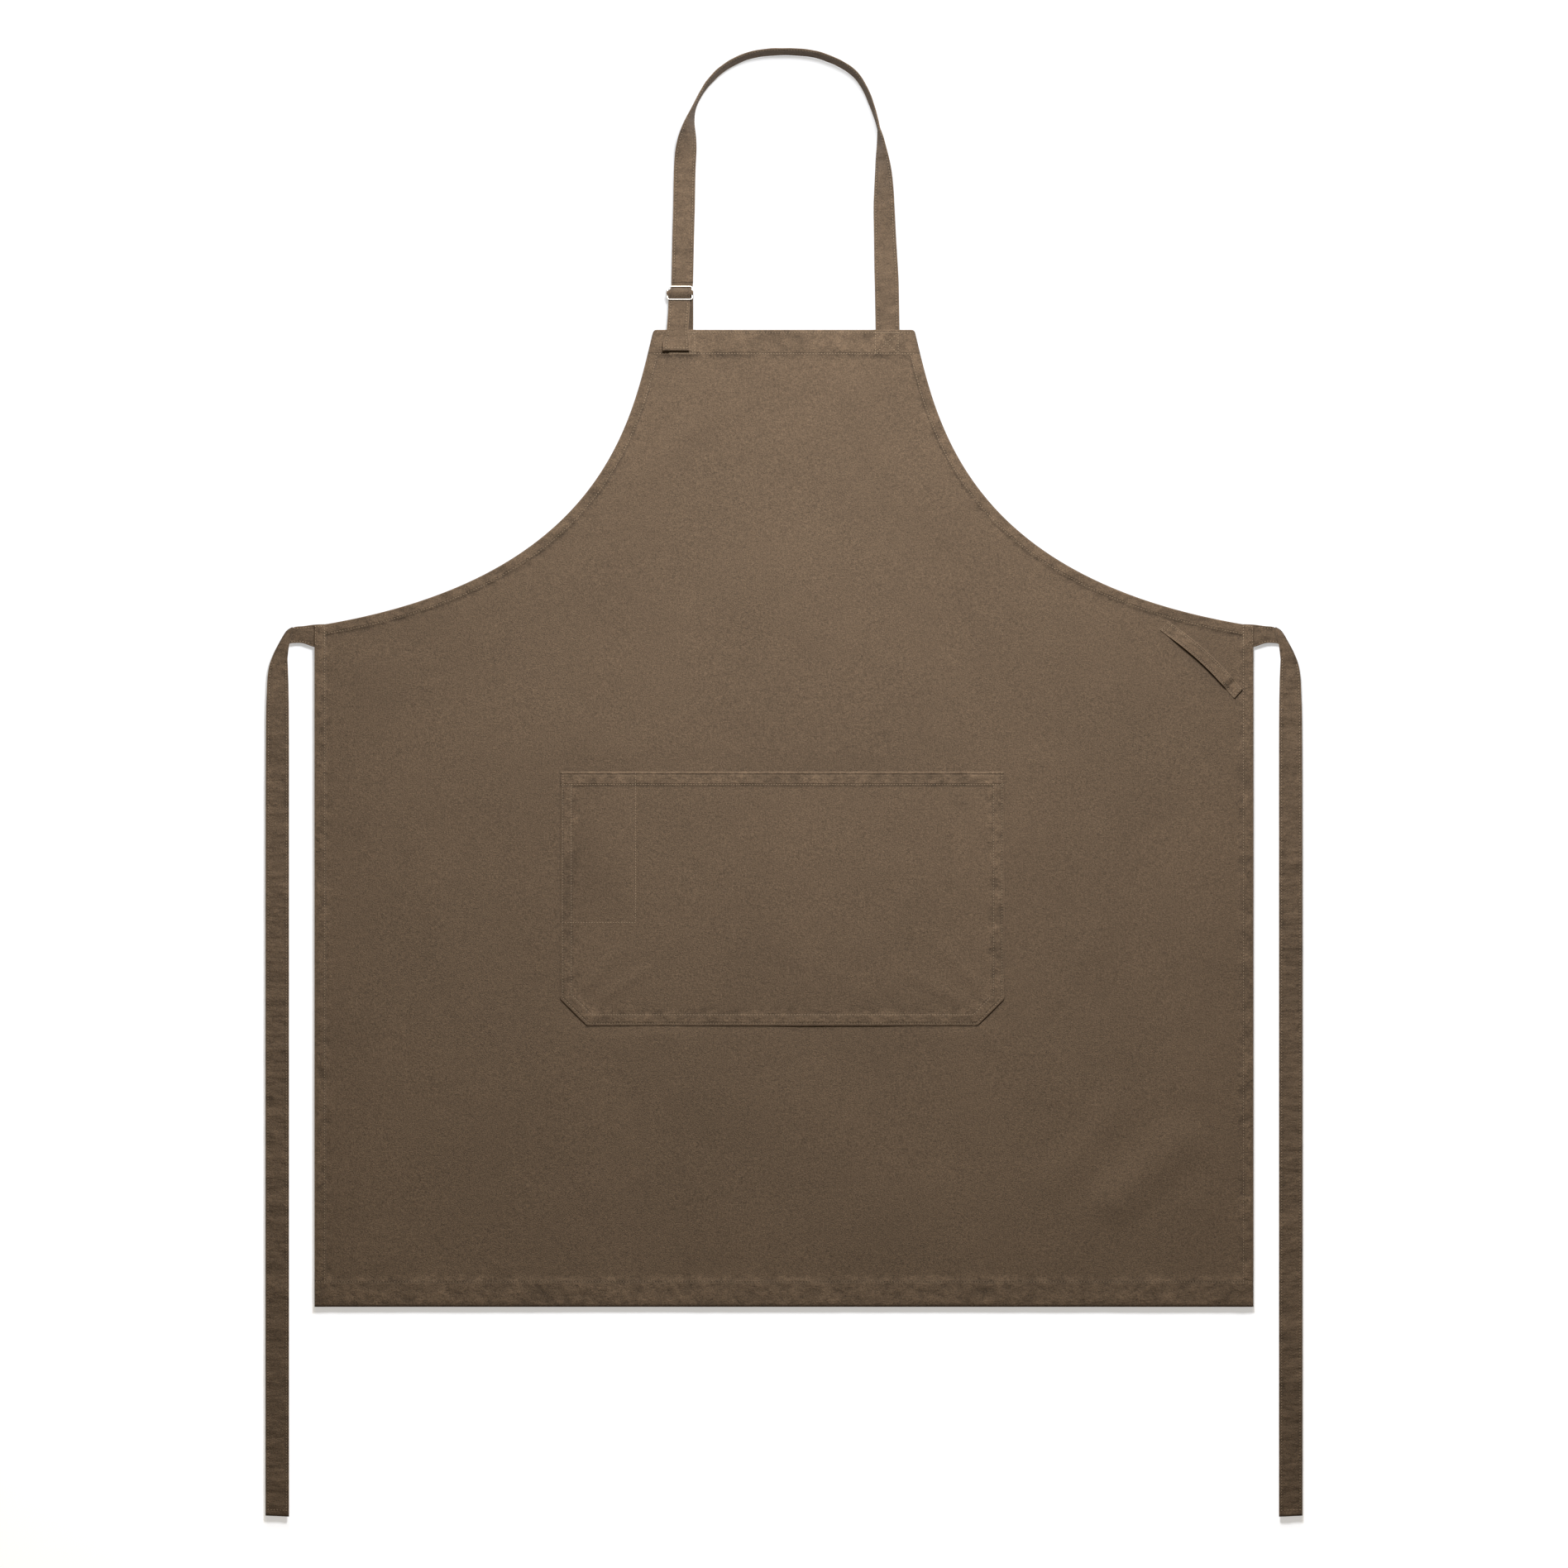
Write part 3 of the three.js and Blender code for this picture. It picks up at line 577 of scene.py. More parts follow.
def weave_group(pitch):
    """Plain weave of slightly uneven yarns: a shade near 1 and a height."""
    tree, (place, yarn, strength), out = group_tree(
        "Canvas Weave", {"Place": None, "Yarn Pitch": pitch, "Grain": 0.1})
    split = tree.nodes.new("ShaderNodeSeparateXYZ")
    feed(split.inputs[0], place)
    warp, weft = (Signal(tree, split.outputs[axis]) / yarn * math.tau for axis in ("X", "Y"))
    slub, coarse = place.noise(800, 2.0, 0.7), place.noise(330, 2.0, 0.6)
    grain = (slub - 0.5) * 1.5 + (coarse - 0.5) * 0.5
    feed(out["Shade"], grain * 5.0 * strength + 1.0)
    feed(out["Height"], maths(tree, "SINE", warp) * maths(tree, "SINE", weft) * 0.5 + grain * 2.2)
    return tree


def wash_group():
    """Uneven fading from washing: a shade near 1."""
    tree, (place, strength), out = group_tree("Washed Mottle", {"Place": None, "Strength": 0.1}, ("Shade",))
    wide, fine = place.noise(7, 3.0) - 0.5, place.noise(46, 4.0, 0.6) - 0.5
    feed(out["Shade"], (wide * 1.6 + fine * 0.6) * strength + 1.0)
    return tree


def hem_group():
    """Puckers, rubbed fold and pressed sewing line of a turned edge: a height, and a shade near 1 that paints light
    and shade on the puckers, a light fold edge that is partly rubbed wear and partly painted highlight, a painted
    shadow at the hem's step and a painted shadow in the sewing groove.
    """
    tree, (distance, hem, strength, outer_row, fold_line), out = group_tree(
        "Sewn Edge", {"Distance": 50.0, "Hem": 10.0, "Strength": 1.0, "Outer Row": -9.0, "Step": 0.5})
    place = object_place(tree)
    pucker = (place.noise(115, 2.0, 0.55) - 0.5) + (place.noise(45, 1.0) - 0.5) * 0.6
    inside = distance.ramp(hem + 0.2, hem + 9.0) * distance.ramp(0.0, 3.5, 0.35, 1.0)
    # The puckers' ripple bumps the height and also paints their light and shade into the colour.
    ripple = pucker * inside * strength
    # A lighter rim on the fold edge: partly rubbed wear, partly a painted highlight.
    worn_and_lit_fold = distance.ramp(0.4, 1.6)
    step = distance - (hem + 0.5)
    # Painted shadow: a dark line where the turned hem steps down onto the cloth.
    step_shadow = abs(step).ramp(0.0, 1.3) * fold_line
    row, second = abs(distance - (hem - 1.0)), abs(distance - outer_row)
    # The sewing groove is bumped in and also darkened with painted shade.
    groove = maths(tree, "MINIMUM", row, second).ramp(0.2, 1.5)
    # The shade sums the painted light and shade of the puckers, the fold's partly painted highlight, and the painted
    # shadows at the hem's step and in the sewing groove.
    feed(out["Shade"], ripple * 0.95 + 1.0 + worn_and_lit_fold * 0.26 - step_shadow * 0.16 - groove * 0.17)
    feed(out["Height"], ripple * 5.0 - groove * 0.8 + step.ramp(-0.7, 0.7, 0.9) * fold_line)
    return tree


def placed(tree, group, **inputs):
    """The outputs of a group whose inputs are fed by name, with underscores for spaces."""
    node = tree.nodes.new("ShaderNodeGroup")
    node.node_tree = group
    for key, value in inputs.items():
        feed(node.inputs[key.replace("_", " ")], value)
    return [Signal(tree, socket) for socket in node.outputs]


def plain_material(name, roughness):
    """Material with a Principled shader; returns it with its tree and shader."""
    material = bpy.data.materials.new(name)
    material.use_nodes = True
    tree = material.node_tree
    shader = tree.nodes["Principled BSDF"]
    shader.inputs["Roughness"].default_value = roughness
    return material, tree, shader


def bump_into(shader, height, distance, strength=1.0):
    """Bump from a height to the shader's normal."""
    bump = height.tree.nodes.new("ShaderNodeBump")
    for key, value in zip(("Strength", "Distance", "Height"), (strength, distance, height)):
        feed(bump.inputs[key], value)
    feed(shader.inputs["Normal"], Signal(height.tree, bump.outputs[0]))


def colour_into(shader, colour, shade):
    """A colour times a shade to the shader's base colour."""
    mix = shade.tree.nodes.new("ShaderNodeVectorMath")
    mix.operation = "SCALE"
    mix.inputs[0].default_value = colour
    feed(mix.inputs["Scale"], shade)
    feed(shader.inputs["Base Color"], Signal(shade.tree, mix.outputs[0]))


def attribute(tree, name):
    """Value of a named mesh attribute."""
    node = tree.nodes.new("ShaderNodeAttribute")
    node.attribute_name = name
    return Signal(tree, node.outputs["Fac"])


def canvas_material(groups, name, grain, mottle, puckers, tone=1.0, outer_row=-9.0, fold_line=0.5,
                    creases=0.0):
    """Washed cotton canvas with its weave, fading and sewn edges; the sewn edges carry painted light and shade."""
    scene = bpy.context.scene
    _, tree, shader = plain_material(name, 0.93)
    place = object_place(tree)
    weave, weave_height = placed(
        tree, groups["weave"], Place=place, Yarn_Pitch=scene.apron_sizes.weave_pitch, Grain=grain)
    wash = placed(tree, groups["wash"], Place=place, Strength=mottle)[0]
    edge, edge_height = placed(
        tree, groups["hem"], Distance=attribute(tree, "edge_distance"), Hem=attribute(tree, "hem_width"),
        Strength=puckers, Outer_Row=outer_row, Step=fold_line)
    # The sewn-edge shade paints light and shade into the colour: pucker shading, a fold highlight, and shadows at the
    # hem's step and in the sewing groove.
    colour_into(shader, [c * tone for c in scene.apron_colours.canvas], weave * wash * edge)
    height = weave_height * 0.45 + edge_height
    if creases:
        flat = place.vector("MULTIPLY", (0.35, 1.0, 0.35))
        height += (flat.noise(75, 2.0, 0.55) + flat.noise(24, 1.0)) * creases
    bump_into(shader, height, 0.00055)
    shader.inputs["Sheen Weight"].default_value = 0.06
    shader.inputs["Sheen Roughness"].default_value = 0.6
    shader.inputs["Specular IOR Level"].default_value = 0.2


def thread_material(colours):
    """Twisted sewing thread."""
    material, tree, shader = plain_material("thread", 0.75)
    place = object_place(tree)
    colour_into(shader, colours.thread, place.noise(300) * 0.42 + 0.8)
    bump_into(shader, place.noise(2500), 0.0001, 0.6)
    shader.inputs["Sheen Weight"].default_value = 0.2
    return material


def nickel_material(colours):
    """Plated wire with light handling marks."""
    _, tree, shader = plain_material("nickel", 0.24)
    place = object_place(tree)
    marks = place.noise(700, 4.0, 0.6)
    feed(shader.inputs["Roughness"], marks.ramp(0.3, 0.75, 0.6, 0.7))
    colour_into(shader, colours.nickel, place.noise(260).ramp(0.3, 0.7, 0.9, 1.05))
    shader.inputs["Metallic"].default_value = 1.0
    bump_into(shader, marks, 0.00003, 0.5)


def floor_material(colours):
    """Pale matt floor, paler where less of the lamp reaches it, so that it looks evenly white."""
    material, tree, shader = plain_material("floor", 0.9)
    heading = (LAMP_AIM - LAMP).normalized()
    best = Vector((0, 0.35, 0)) - LAMP
    level = LAMP_SHARE * best.length ** 4 / best.dot(heading)
    ray = object_place(tree).vector("SUBTRACT", LAMP)
    far, facing = ray.vector("LENGTH", output="Value"), ray.vector("DOT_PRODUCT", heading, "Value")
    lit = facing * level / maths(tree, "POWER", far, 4.0)
    lit = maths(tree, "MAXIMUM", lit, 0.0) + (1 - LAMP_SHARE)
    colour_into(shader, colours.floor, maths(tree, "MINIMUM", maths(tree, "DIVIDE", FLOOR_SHADE, lit), 1.0))
    shader.inputs["Emission Color"].default_value = (1, 1, 1, 1)
    shader.inputs["Emission Strength"].default_value = 0.42
    shader.inputs["Specular IOR Level"].default_value = 0.0
    return material


def coat(piece, name, record_slot):
    """Gives a piece one material and its slot in the record."""
    piece.data.materials.clear()
    piece.data.materials.append(bpy.data.materials[name])
    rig.slot(piece, record_slot)
    return piece


# ---- stitches ----


def stitch_tree(material):
    """Geometry Nodes: one short loop of thread at every pitch along each line."""
    tree = bpy.data.node_groups.new("Lockstitch Row", "GeometryNodeTree")
    face = tree.interface
    face.new_socket("Geometry", in_out="INPUT", socket_type="NodeSocketGeometry")
    for label, default in (("Pitch", 0.0027), ("Length", 0.002), ("Width", 0.0005), ("Height", 0.0004)):
        face.new_socket(label, in_out="INPUT", socket_type="NodeSocketFloat").default_value = default
    face.new_socket("Seed", in_out="INPUT", socket_type="NodeSocketInt").default_value = 3
    face.new_socket("Geometry", in_out="OUTPUT", socket_type="NodeSocketGeometry")

    def add(kind, inputs, **fields):
        """Adds a node and sets or links its inputs; returns its first output."""
        node = tree.nodes.new(kind)
        for key, value in fields.items():
            setattr(node, key, value)
        for key, value in inputs.items():
            if isinstance(value, bpy.types.NodeSocket):
                tree.links.new(value, node.inputs[key])
            else:
                node.inputs[key].default_value = value
        return node.outputs[0] if len(node.outputs) else None

    given = tree.nodes.new("NodeGroupInput").outputs
    line = add("GeometryNodeMeshToCurve", {"Mesh": given["Geometry"]})
    steps = add("GeometryNodeResampleCurve", {"Curve": line, "Length": given["Pitch"]}, mode="LENGTH")
    tangent = add("GeometryNodeInputTangent", {})
    up = add("GeometryNodeInputNamedAttribute", {"Name": "cloth_up"}, data_type="FLOAT_VECTOR")
    lay = add("FunctionNodeAlignRotationToVector", {"Vector": tangent}, axis="X")
    stand = add("FunctionNodeAlignRotationToVector", {"Rotation": lay, "Vector": up},
                axis="Z", pivot_axis="X")
    smallest, largest = (0.88, 0.85, 0.8), (1.1, 1.1, 1.15)
    jitter = add("FunctionNodeRandomValue", {0: smallest, 1: largest, "Seed": given["Seed"]},
                 data_type="FLOAT_VECTOR")
    bead = add("GeometryNodeMeshUVSphere", {"Segments": 6, "Rings": 4, "Radius": 0.5})
    size = add("ShaderNodeCombineXYZ", {"X": given["Length"], "Y": given["Width"], "Z": given["Height"]})
    shape = add("GeometryNodeTransform", {"Geometry": bead, "Scale": size})
    sew = add("GeometryNodeInstanceOnPoints",
              {"Points": steps, "Instance": shape, "Rotation": stand, "Scale": jitter})
    real = add("GeometryNodeRealizeInstances", {0: sew})
    soft = add("GeometryNodeSetShadeSmooth", {0: real})
    paint = add("GeometryNodeSetMaterial", {"Geometry": soft, "Material": material})
    add("NodeGroupOutput", {0: paint})


def sewn(name, lines, scale=1.0):
    """Stitches along lines of (x, y, z, up), in millimetres, as one plain mesh."""
    sizes = bpy.context.scene.apron_sizes
    vertices, edges, ups = [], [], []
    for line in lines:
        first = len(vertices)
        for x, y, z, up in line:
            vertices.append((x, y, z))
            ups.append(tuple(up))
        edges += [(i, i + 1) for i in range(first, len(vertices) - 1)]
    guide = new_object(name + "_guide", vertices, [], {"cloth_up": ups}, edges)
    rows = guide.modifiers.new("Stitches", "NODES")
    rows.node_group = bpy.data.node_groups["Lockstitch Row"]
    values = {
        "Pitch": sizes.stitch_pitch * scale,
        "Length": sizes.stitch_length * scale,
        "Width": sizes.thread_width,
        "Height": sizes.thread_width * 0.8,
        "Seed": len(name),
    }
    for item in rows.node_group.interface.items_tree:
        if item.in_out == "INPUT" and item.name in values:
            rows[item.identifier] = values[item.name]
    bpy.context.view_layer.update()
    depsgraph = bpy.context.evaluated_depsgraph_get()
    mesh = bpy.data.meshes.new_from_object(guide.evaluated_get(depsgraph))
    mesh.name = name
    piece = linked(name, mesh)
    bpy.data.objects.remove(guide)
    return coat(piece, "thread", "thread")


UP = (0.0, 0.0, 1.0)


def row_on(surface, *corners):
    """A sewing line through (x, y) corners, lying on a surface of the given height."""
    return [(x, y, surface(x, y) + 0.12, UP) for x, y in spaced(corners, 2.0)]


# ---- pieces ----


def places_across(left, right, close, gap, count):
    """Places from edge to edge, closer together near both edges."""
    places = [left + c for c in close]
    places += [left + gap + (right - left - 2 * gap) * i / count for i in range(count + 1)]
    return places + [right - c for c in reversed(close)]


def build_panel():
    """The body panel: armholes, turned hems, soft folds and the lumps of what is sewn behind it."""
    levels = [(BIB_TOP - d, HALF_BIB - 3 + math.sqrt(9 - (3 - d) ** 2) + d * 0.2)
              for d in (0, 0.3, 0.8, 1.5, 2.2)]
    levels += [(y, x) for x, y in spaced(ARMHOLE, 3.0) if y < BIB_TOP - 2.5]
    y = SIDE_TOP
    while y > BOTTOM + 0.5:
        near_hem = abs(y - BOTTOM - BOTTOM_HEM) < 3 or y > SIDE_TOP - 14 or y < BOTTOM + 2
        y = max(BOTTOM, y - (0.9 if near_hem else 3.6))
        levels.append((y, HALF_PANEL))
    close = 0, 0.5, 1.6, 3.4, 5.4, 7.4, 9.0, 9.8, 10.5, 11.2, 12.0, 13.4, 16, 19, 23
    rows = []
    for y, half in levels:
        row = []
        for x in places_across(-half, half, close, 27, 118):
            edges, z = panel_edges(x, y), panel_top(x, y)
            distance, _, hem, _ = own_hem(y, edges)
            thick = CLOTH + HEM_LIFT * smooth((0.9 - min(edge[0] - edge[2] for edge in edges)) / 1.5)
            low = max(0.0, z - thick - 0.1)
            if y > BIB_TOP - 25 and min(abs(x - TAB_X), abs(x - RIGHT_X)) < 12.5:
                low = max(low, z - CLOTH - 0.2)
            rim = smooth(1 - min(edge[0] for edge in edges) / 0.9)
            z -= 0.75 * rim * min(1.0, (z - low) / 2)
            low += 0.4 * rim * min(1.0, (z - low) / 2)
            row.append(((x, y, z), (x, y, low), distance, hem))
        rows.append(row)
    piece = coat(cloth_object("body_panel_cloth", rows), "panel canvas", "canvas")
    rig.ride(piece, "apron")
    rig.replaces(piece, "body_panel")
    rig.sheet(piece, flat=(0.95, 0.985), held="laid", area=0.77)


def box_rows(x, y, width, height, cross=True):
    """A sewn box on the panel, with or without a cross in it."""
    l, r, b, t = x - width / 2, x + width / 2, y - height / 2, y + height / 2
    lines = [row_on(panel_top, (l, t), (l, b), (r, b), (r, t), (l, t))]
    if cross:
        lines += [row_on(panel_top, (l, t), (r, b)), row_on(panel_top, (l, b), (r, t))]
    return lines


def offset_armhole(side, inset):
    """The armhole's line moved into the cloth."""
    out = []
    for a, b, c in zip(ARMHOLE, ARMHOLE[2:], ARMHOLE[1:-1]):
        along = Vector((b[0] - a[0], b[1] - a[1])).normalized()
        x, y = c[0] + along.y * inset, c[1] - along.x * inset
        if x < HALF_PANEL - SIDE_HEM and y < BIB_TOP - BIB_HEM - 1.5:
            out.append((side * x, y))
    return out


def build_panel_stitches():
    """Every row of sewing on the panel."""
    bib = HALF_BIB - 4
    top, hem, bottom = BIB_TOP - 2.8, BIB_TOP - BIB_HEM + 1, BOTTOM + 24.2
    lines = [
        row_on(panel_top, (-bib, top), (bib, top)),
        row_on(panel_top, (-bib - 3, hem), (bib + 3, hem)),
        row_on(panel_top, (-HALF_PANEL + 2, bottom), (HALF_PANEL - 2, bottom)),
    ]
    for side in (-1, 1):
        edge = side * (HALF_PANEL - SIDE_HEM + 0.7)
        lines.append(row_on(panel_top, (edge, SIDE_TOP - 3), (edge, BOTTOM + 23)))
        lines.append(row_on(panel_top, *offset_armhole(side, ARM_HEM - 1)))
        lines += box_rows(side * (HALF_PANEL - 5.6), (TIE_HIGH.y + SIDE_TOP - 21) / 2, 9, 18, False)
    for x, width in ((TAB_X, 24), (RIGHT_X, 22)):
        lines += box_rows(x, BIB_TOP - 13, width, 20)
    piece = sewn("panel_stitches", lines)
    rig.ride(piece, "apron")
    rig.replaces(
        piece, "bib_top_stitch", "bib_hem_stitch", "bottom_hem_stitch", "armhole_stitch_left",
        "armhole_stitch_right", "side_hem_stitch_left", "side_hem_stitch_right",
        "waist_tie_left_box_stitch", "waist_tie_right_box_stitch", "neck_tab_box_stitch",
        "neck_strap_box_stitch")


POCKET_BASE = POCKET_LOW.z
DIVIDER_X = DIVIDER_HIGH.x - 0.3
DIVIDER_Y = DIVIDER_LOW.y + 0.3


def pocket_half(y):
    """Left and right edge of the pocket at a height."""
    cut = max(0.0, CUT - (y - POCKET_LOW.y))
    bulge = 0.9 * math.sin(math.pi * min(1.0, max(0.0, (y - POCKET_LOW.y) / (POCKET_HIGH.y - POCKET_LOW.y))))
    return POCKET_LOW.x + cut, POCKET_HIGH.x - cut + bulge - 0.9


def pocket_edge(x, y):
    """Distance to the nearest side, bottom or cut corner, and the place along the rim."""
    left, right = POCKET_LOW.x, POCKET_HIGH.x
    low = y - POCKET_LOW.y
    choices = [(x - left, y), (right - x, y + 300), (low, x)]
    choices.append(((x - left + low - CUT) / math.sqrt(2), x - y))
    choices.append(((right - x + low - CUT) / math.sqrt(2), x + y))
    return min(choices)


def pocket_rise(x, y):
    """How far the pocket stands off the panel."""
    if x < DIVIDER_X:
        u = (x - POCKET_LOW.x) / (DIVIDER_X - POCKET_LOW.x)
        v = (y - DIVIDER_Y) / (POCKET_HIGH.y - DIVIDER_Y)
        size = 5.2
    else:
        u = (x - DIVIDER_X) / (POCKET_HIGH.x - DIVIDER_X)
        v = (y - POCKET_LOW.y) / (POCKET_HIGH.y - POCKET_LOW.y)
        size = 5.4
    u, v = min(1.0, max(0.0, u)), min(1.0, max(0.0, v))
    return size * math.sin(math.pi * u) * math.sin(math.pi / 2 * v)


def pocket_top(x, y):
    """Height of the front of the pocket."""
    left, right, bottom, top = POCKET_LOW.x, POCKET_HIGH.x, POCKET_LOW.y, POCKET_HIGH.y
    distance, place = pocket_edge(x, y)
    from_top = top - y
    lift = max(smooth((12.3 - distance) / 1.5), smooth((POCKET_HEM + 0.9 - from_top) / 1.5))
    z = POCKET_BASE + CLOTH + 0.75 * lift + pocket_rise(x, y)
    band = smooth(distance / 2.5) * smooth((13 - distance) / 3)
    z += 0.28 * band * (0.5 + wander(place, distance * 0.25, 5.5, 3.3))
    calm, waves = smooth((distance - 6) / 30), 0.5 + 0.7 * wander(x, y, 70, 9.0) + 0.3 * wander(x, y, 24, 4.0)
    z += calm * waves * smooth(from_top / 30 + 0.2)
    near = math.exp(-max(0.0, distance - 12) / 10) * smooth(distance / 12)
    z += 0.3 * near * wander(place, distance * 0.4, 10, 7.7)
    z += fold(x, y, (left + 22, bottom + 34), (left + 62, bottom + 78), 9, 0.9)
    z += fold(x, y, (left + 36, bottom + 24), (left + 92, bottom + 60), 9, 0.8)
    z += fold(x, y, (right - 22, bottom + 34), (right - 66, bottom + 82), 10, 0.9)
    z += fold(x, y, (right - 40, bottom + 22), (right - 96, bottom + 52), 9, 0.7)
    if x < DIVIDER_X + 8 and y > DIVIDER_Y - 6:
        z -= 0.35 * hump((x - DIVIDER_X) / 3.5)
    return z


def build_pocket():
    """The patch pocket with its turned edges, hem and cut corners."""
    bottom, top = POCKET_LOW.y, POCKET_HIGH.y
    count = 92
    ys = [bottom + s for s in (0, 0.5, 1.5, 3, 5, 7, 9, 10.6, 11.4, 12.2, 13, 14.5, 17, 20, 23)]
    ys += [bottom + 26 + (top - 17 - bottom - 26) * i / count for i in range(count + 1)]
    ys += [top - s for s in (15.6, 14.8, 14.2, 13.6, 12.8, 11, 8.5, 6, 4, 2.2, 1.0, 0.4, 0)]
    close = 0, 0.5, 1.5, 3, 5, 7, 9, 10.6, 11.4, 12.2, 13, 14.5, 17, 21
    rows = []
    for y in ys:
        row = []
        for x in places_across(*pocket_half(y), close, 26, 130):
            edge, from_top, z = pocket_edge(x, y)[0], top - y, pocket_top(x, y)
            rim = max(0.0, min(edge, from_top))
            low = max(POCKET_BASE, z - CLOTH - 0.7 * smooth((12.3 - rim) / 1.5))
            z -= 0.6 * smooth(1 - rim / 0.9)
            low = min(low, z - 0.3)
            hem = (from_top, POCKET_HEM) if from_top < POCKET_HEM + 1.0 else (edge, POCKET_SEAM)
            row.append(((x, y, z), (x, y, low), *hem))
        rows.append(row)
    piece = coat(cloth_object("pocket_cloth", rows), "pocket canvas", "canvas")
    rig.ride(piece, "apron")
    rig.replaces(piece, "pocket_panel")
    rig.sheet(piece, flat=(0.46, 0.285), held="laid", rests_on=["body_panel_cloth"])


def build_pocket_stitches():
    """Two rows round the pocket, its hem row, the pencil divider and a tack."""
    def loop(inset, top_gap):
        left, right, low = POCKET_LOW.x + inset, POCKET_HIGH.x - inset, POCKET_LOW.y + inset
        cut = CUT - inset * 0.586
        top = POCKET_HIGH.y - top_gap
        return row_on(pocket_top, (left, top), (left, low + cut), (left + cut, low), (right - cut, low),
                      (right, low + cut), (right, top))
    hem, rim = POCKET_HIGH.y - POCKET_HEM + 1, POCKET_HIGH.y - 1.5
    tack = POCKET_HIGH.x - 10
    lines = [
        loop(2.8, 1.5),
        loop(11, POCKET_HEM - 1),
        row_on(pocket_top, (POCKET_LOW.x + 1.5, hem), (POCKET_HIGH.x - 1.5, hem)),
        row_on(pocket_top, (DIVIDER_X, rim), (DIVIDER_X, DIVIDER_Y), (POCKET_LOW.x + 2.5, DIVIDER_Y)),
        row_on(pocket_top, (tack - 2, rim - 0.1), (tack + 2, rim - 0.1)),
    ]
    piece = sewn("pocket_stitches", lines, 0.95)
    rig.ride(piece, "apron")
    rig.replaces(piece, "pocket_hem_stitch", "pocket_edge_stitch", "pocket_inner_stitch",
                "pencil_divider_stitch", "pocket_corner_tack")


# Across half a strap: place from its edge (1) to its middle (0) and share of the thickness.
HALF_BAND = (
    (1, 0.1), (0.985, 0.55), (0.93, 0.95), (0.84, 1.0), (0.78, 0.86), (0.7, 0.98), (0.45, 1.0), (0.15, 0.96))
BAND = [(-across, share) for across, share in HALF_BAND] + list(reversed(HALF_BAND))


def band_rows(steps, width, thick, ripple=0.0, seed=0.0):
    """Rows of a strap from steps of (middle, sideways, normal)."""
    rows, place = [], 0.0
    for i, (middle, sideways, normal) in enumerate(steps):
        if i:
            place += (middle - steps[i - 1][0]).length
        row = []
        for across, share in BAND:
            away = (1 - abs(across)) * width / 2
            wave = ripple * wander(place + across * 3, across * 5, 10, seed) * smooth(away / 2 + 0.3)
            point = middle + sideways * (across * width / 2)
            front, back = (point + normal * (half * share + wave) for half in (thick / 2, -thick / 2))
            row.append((front, back, away, STRAP_HEM))
        rows.append(row)
    return rows


def band_stitches(steps, thick, across, sunk=lambda middle: 0.0):
    """A sewing line along the front of a strap, at a distance from its middle."""
    return [(*(m + s * across + n * (thick / 2 + ROW_LIFT - sunk(m))), tuple(n)) for m, s, n in steps]


def turning(points):
    """Steps for a strap whose middle line lies in the side view: (y, z) points, running across X."""
    steps = []
    for i, point in enumerate(points):
        a, b = points[max(0, i - 1)], points[min(len(points) - 1, i + 1)]
        heading = Vector((0, b[0] - a[0], b[1] - a[1])).normalized()
        normal = Vector((0, -heading.z, heading.y))
        steps.append((Vector((TAB_X, point[0], point[1])), Vector((1, 0, 0)), normal))
    return steps


def drift(y):
    """How far the strap's free end lies to the left at a place along it."""
    return -3.0 * smooth((FOLD_Y - y) / 14) - 2.6 * smooth((TAIL_HIGH.y - y) / 50)


SLIDE_MID = (SLIDE_LOW + SLIDE_HIGH) / 2
TILT = math.radians(9)
BAR_PITCH = 6.4
WIRE = 0.8
GUIDE = WIRE + 0.5 + 0.6
WRAP = WIRE + 0.6 + 1.8


def bar(step):
    """Middle of a bar of the slide in the side view, from the neck (-1) to the bib (1)."""
    along, up = step * BAR_PITCH * math.cos(TILT), step * BAR_PITCH * math.sin(TILT)
    return Vector((SLIDE_MID.y - along, SLIDE_MID.z + up))


def arc(centre, radius, start, end, count):
    """Points on an arc in the side view."""
    return [(centre.x + radius * math.cos(start + (end - start) * i / count),
             centre.y + radius * math.sin(start + (end - start) * i / count)) for i in range(count + 1)]


def leaving(over, under, over_radius, under_radius):
    """Direction from one bar to the next and the half angle at which the strap leaves it."""
    link = under - over
    return math.atan2(link.y, link.x), math.acos((over_radius + under_radius) / link.length)


def through_line():
    """Middle line of the strap through the slide and down the tail, in the side view."""
    upper, middle, lower = bar(-1), bar(0), bar(1)
    toward, side = leaving(middle, upper, WRAP, GUIDE)
    back, other = leaving(middle, lower, WRAP, GUIDE)
    a0, a1 = toward + side, back % math.tau - other
    line = [(FOLD_Y, upper.y - GUIDE)]
    line += arc(upper, GUIDE, -math.pi / 2, a0 - math.pi, 8)
    line += arc(middle, WRAP, a0, a1, 22)
    line += arc(lower, GUIDE, a1 - math.pi, -math.pi / 2, 8)
    start, end = TAIL_HIGH.y, TAIL_LOW.y
    for i in range(1, 37):
        part = i / 36
        rise = 2.45 * smooth(part / 0.6) + 2.0 * smooth((part - 0.5) / 0.5)
        line.append((start + (end - start) * part, lower.y - GUIDE + rise + 0.25 * math.sin(part * 9) * part))
    return spaced(line, 0.8)


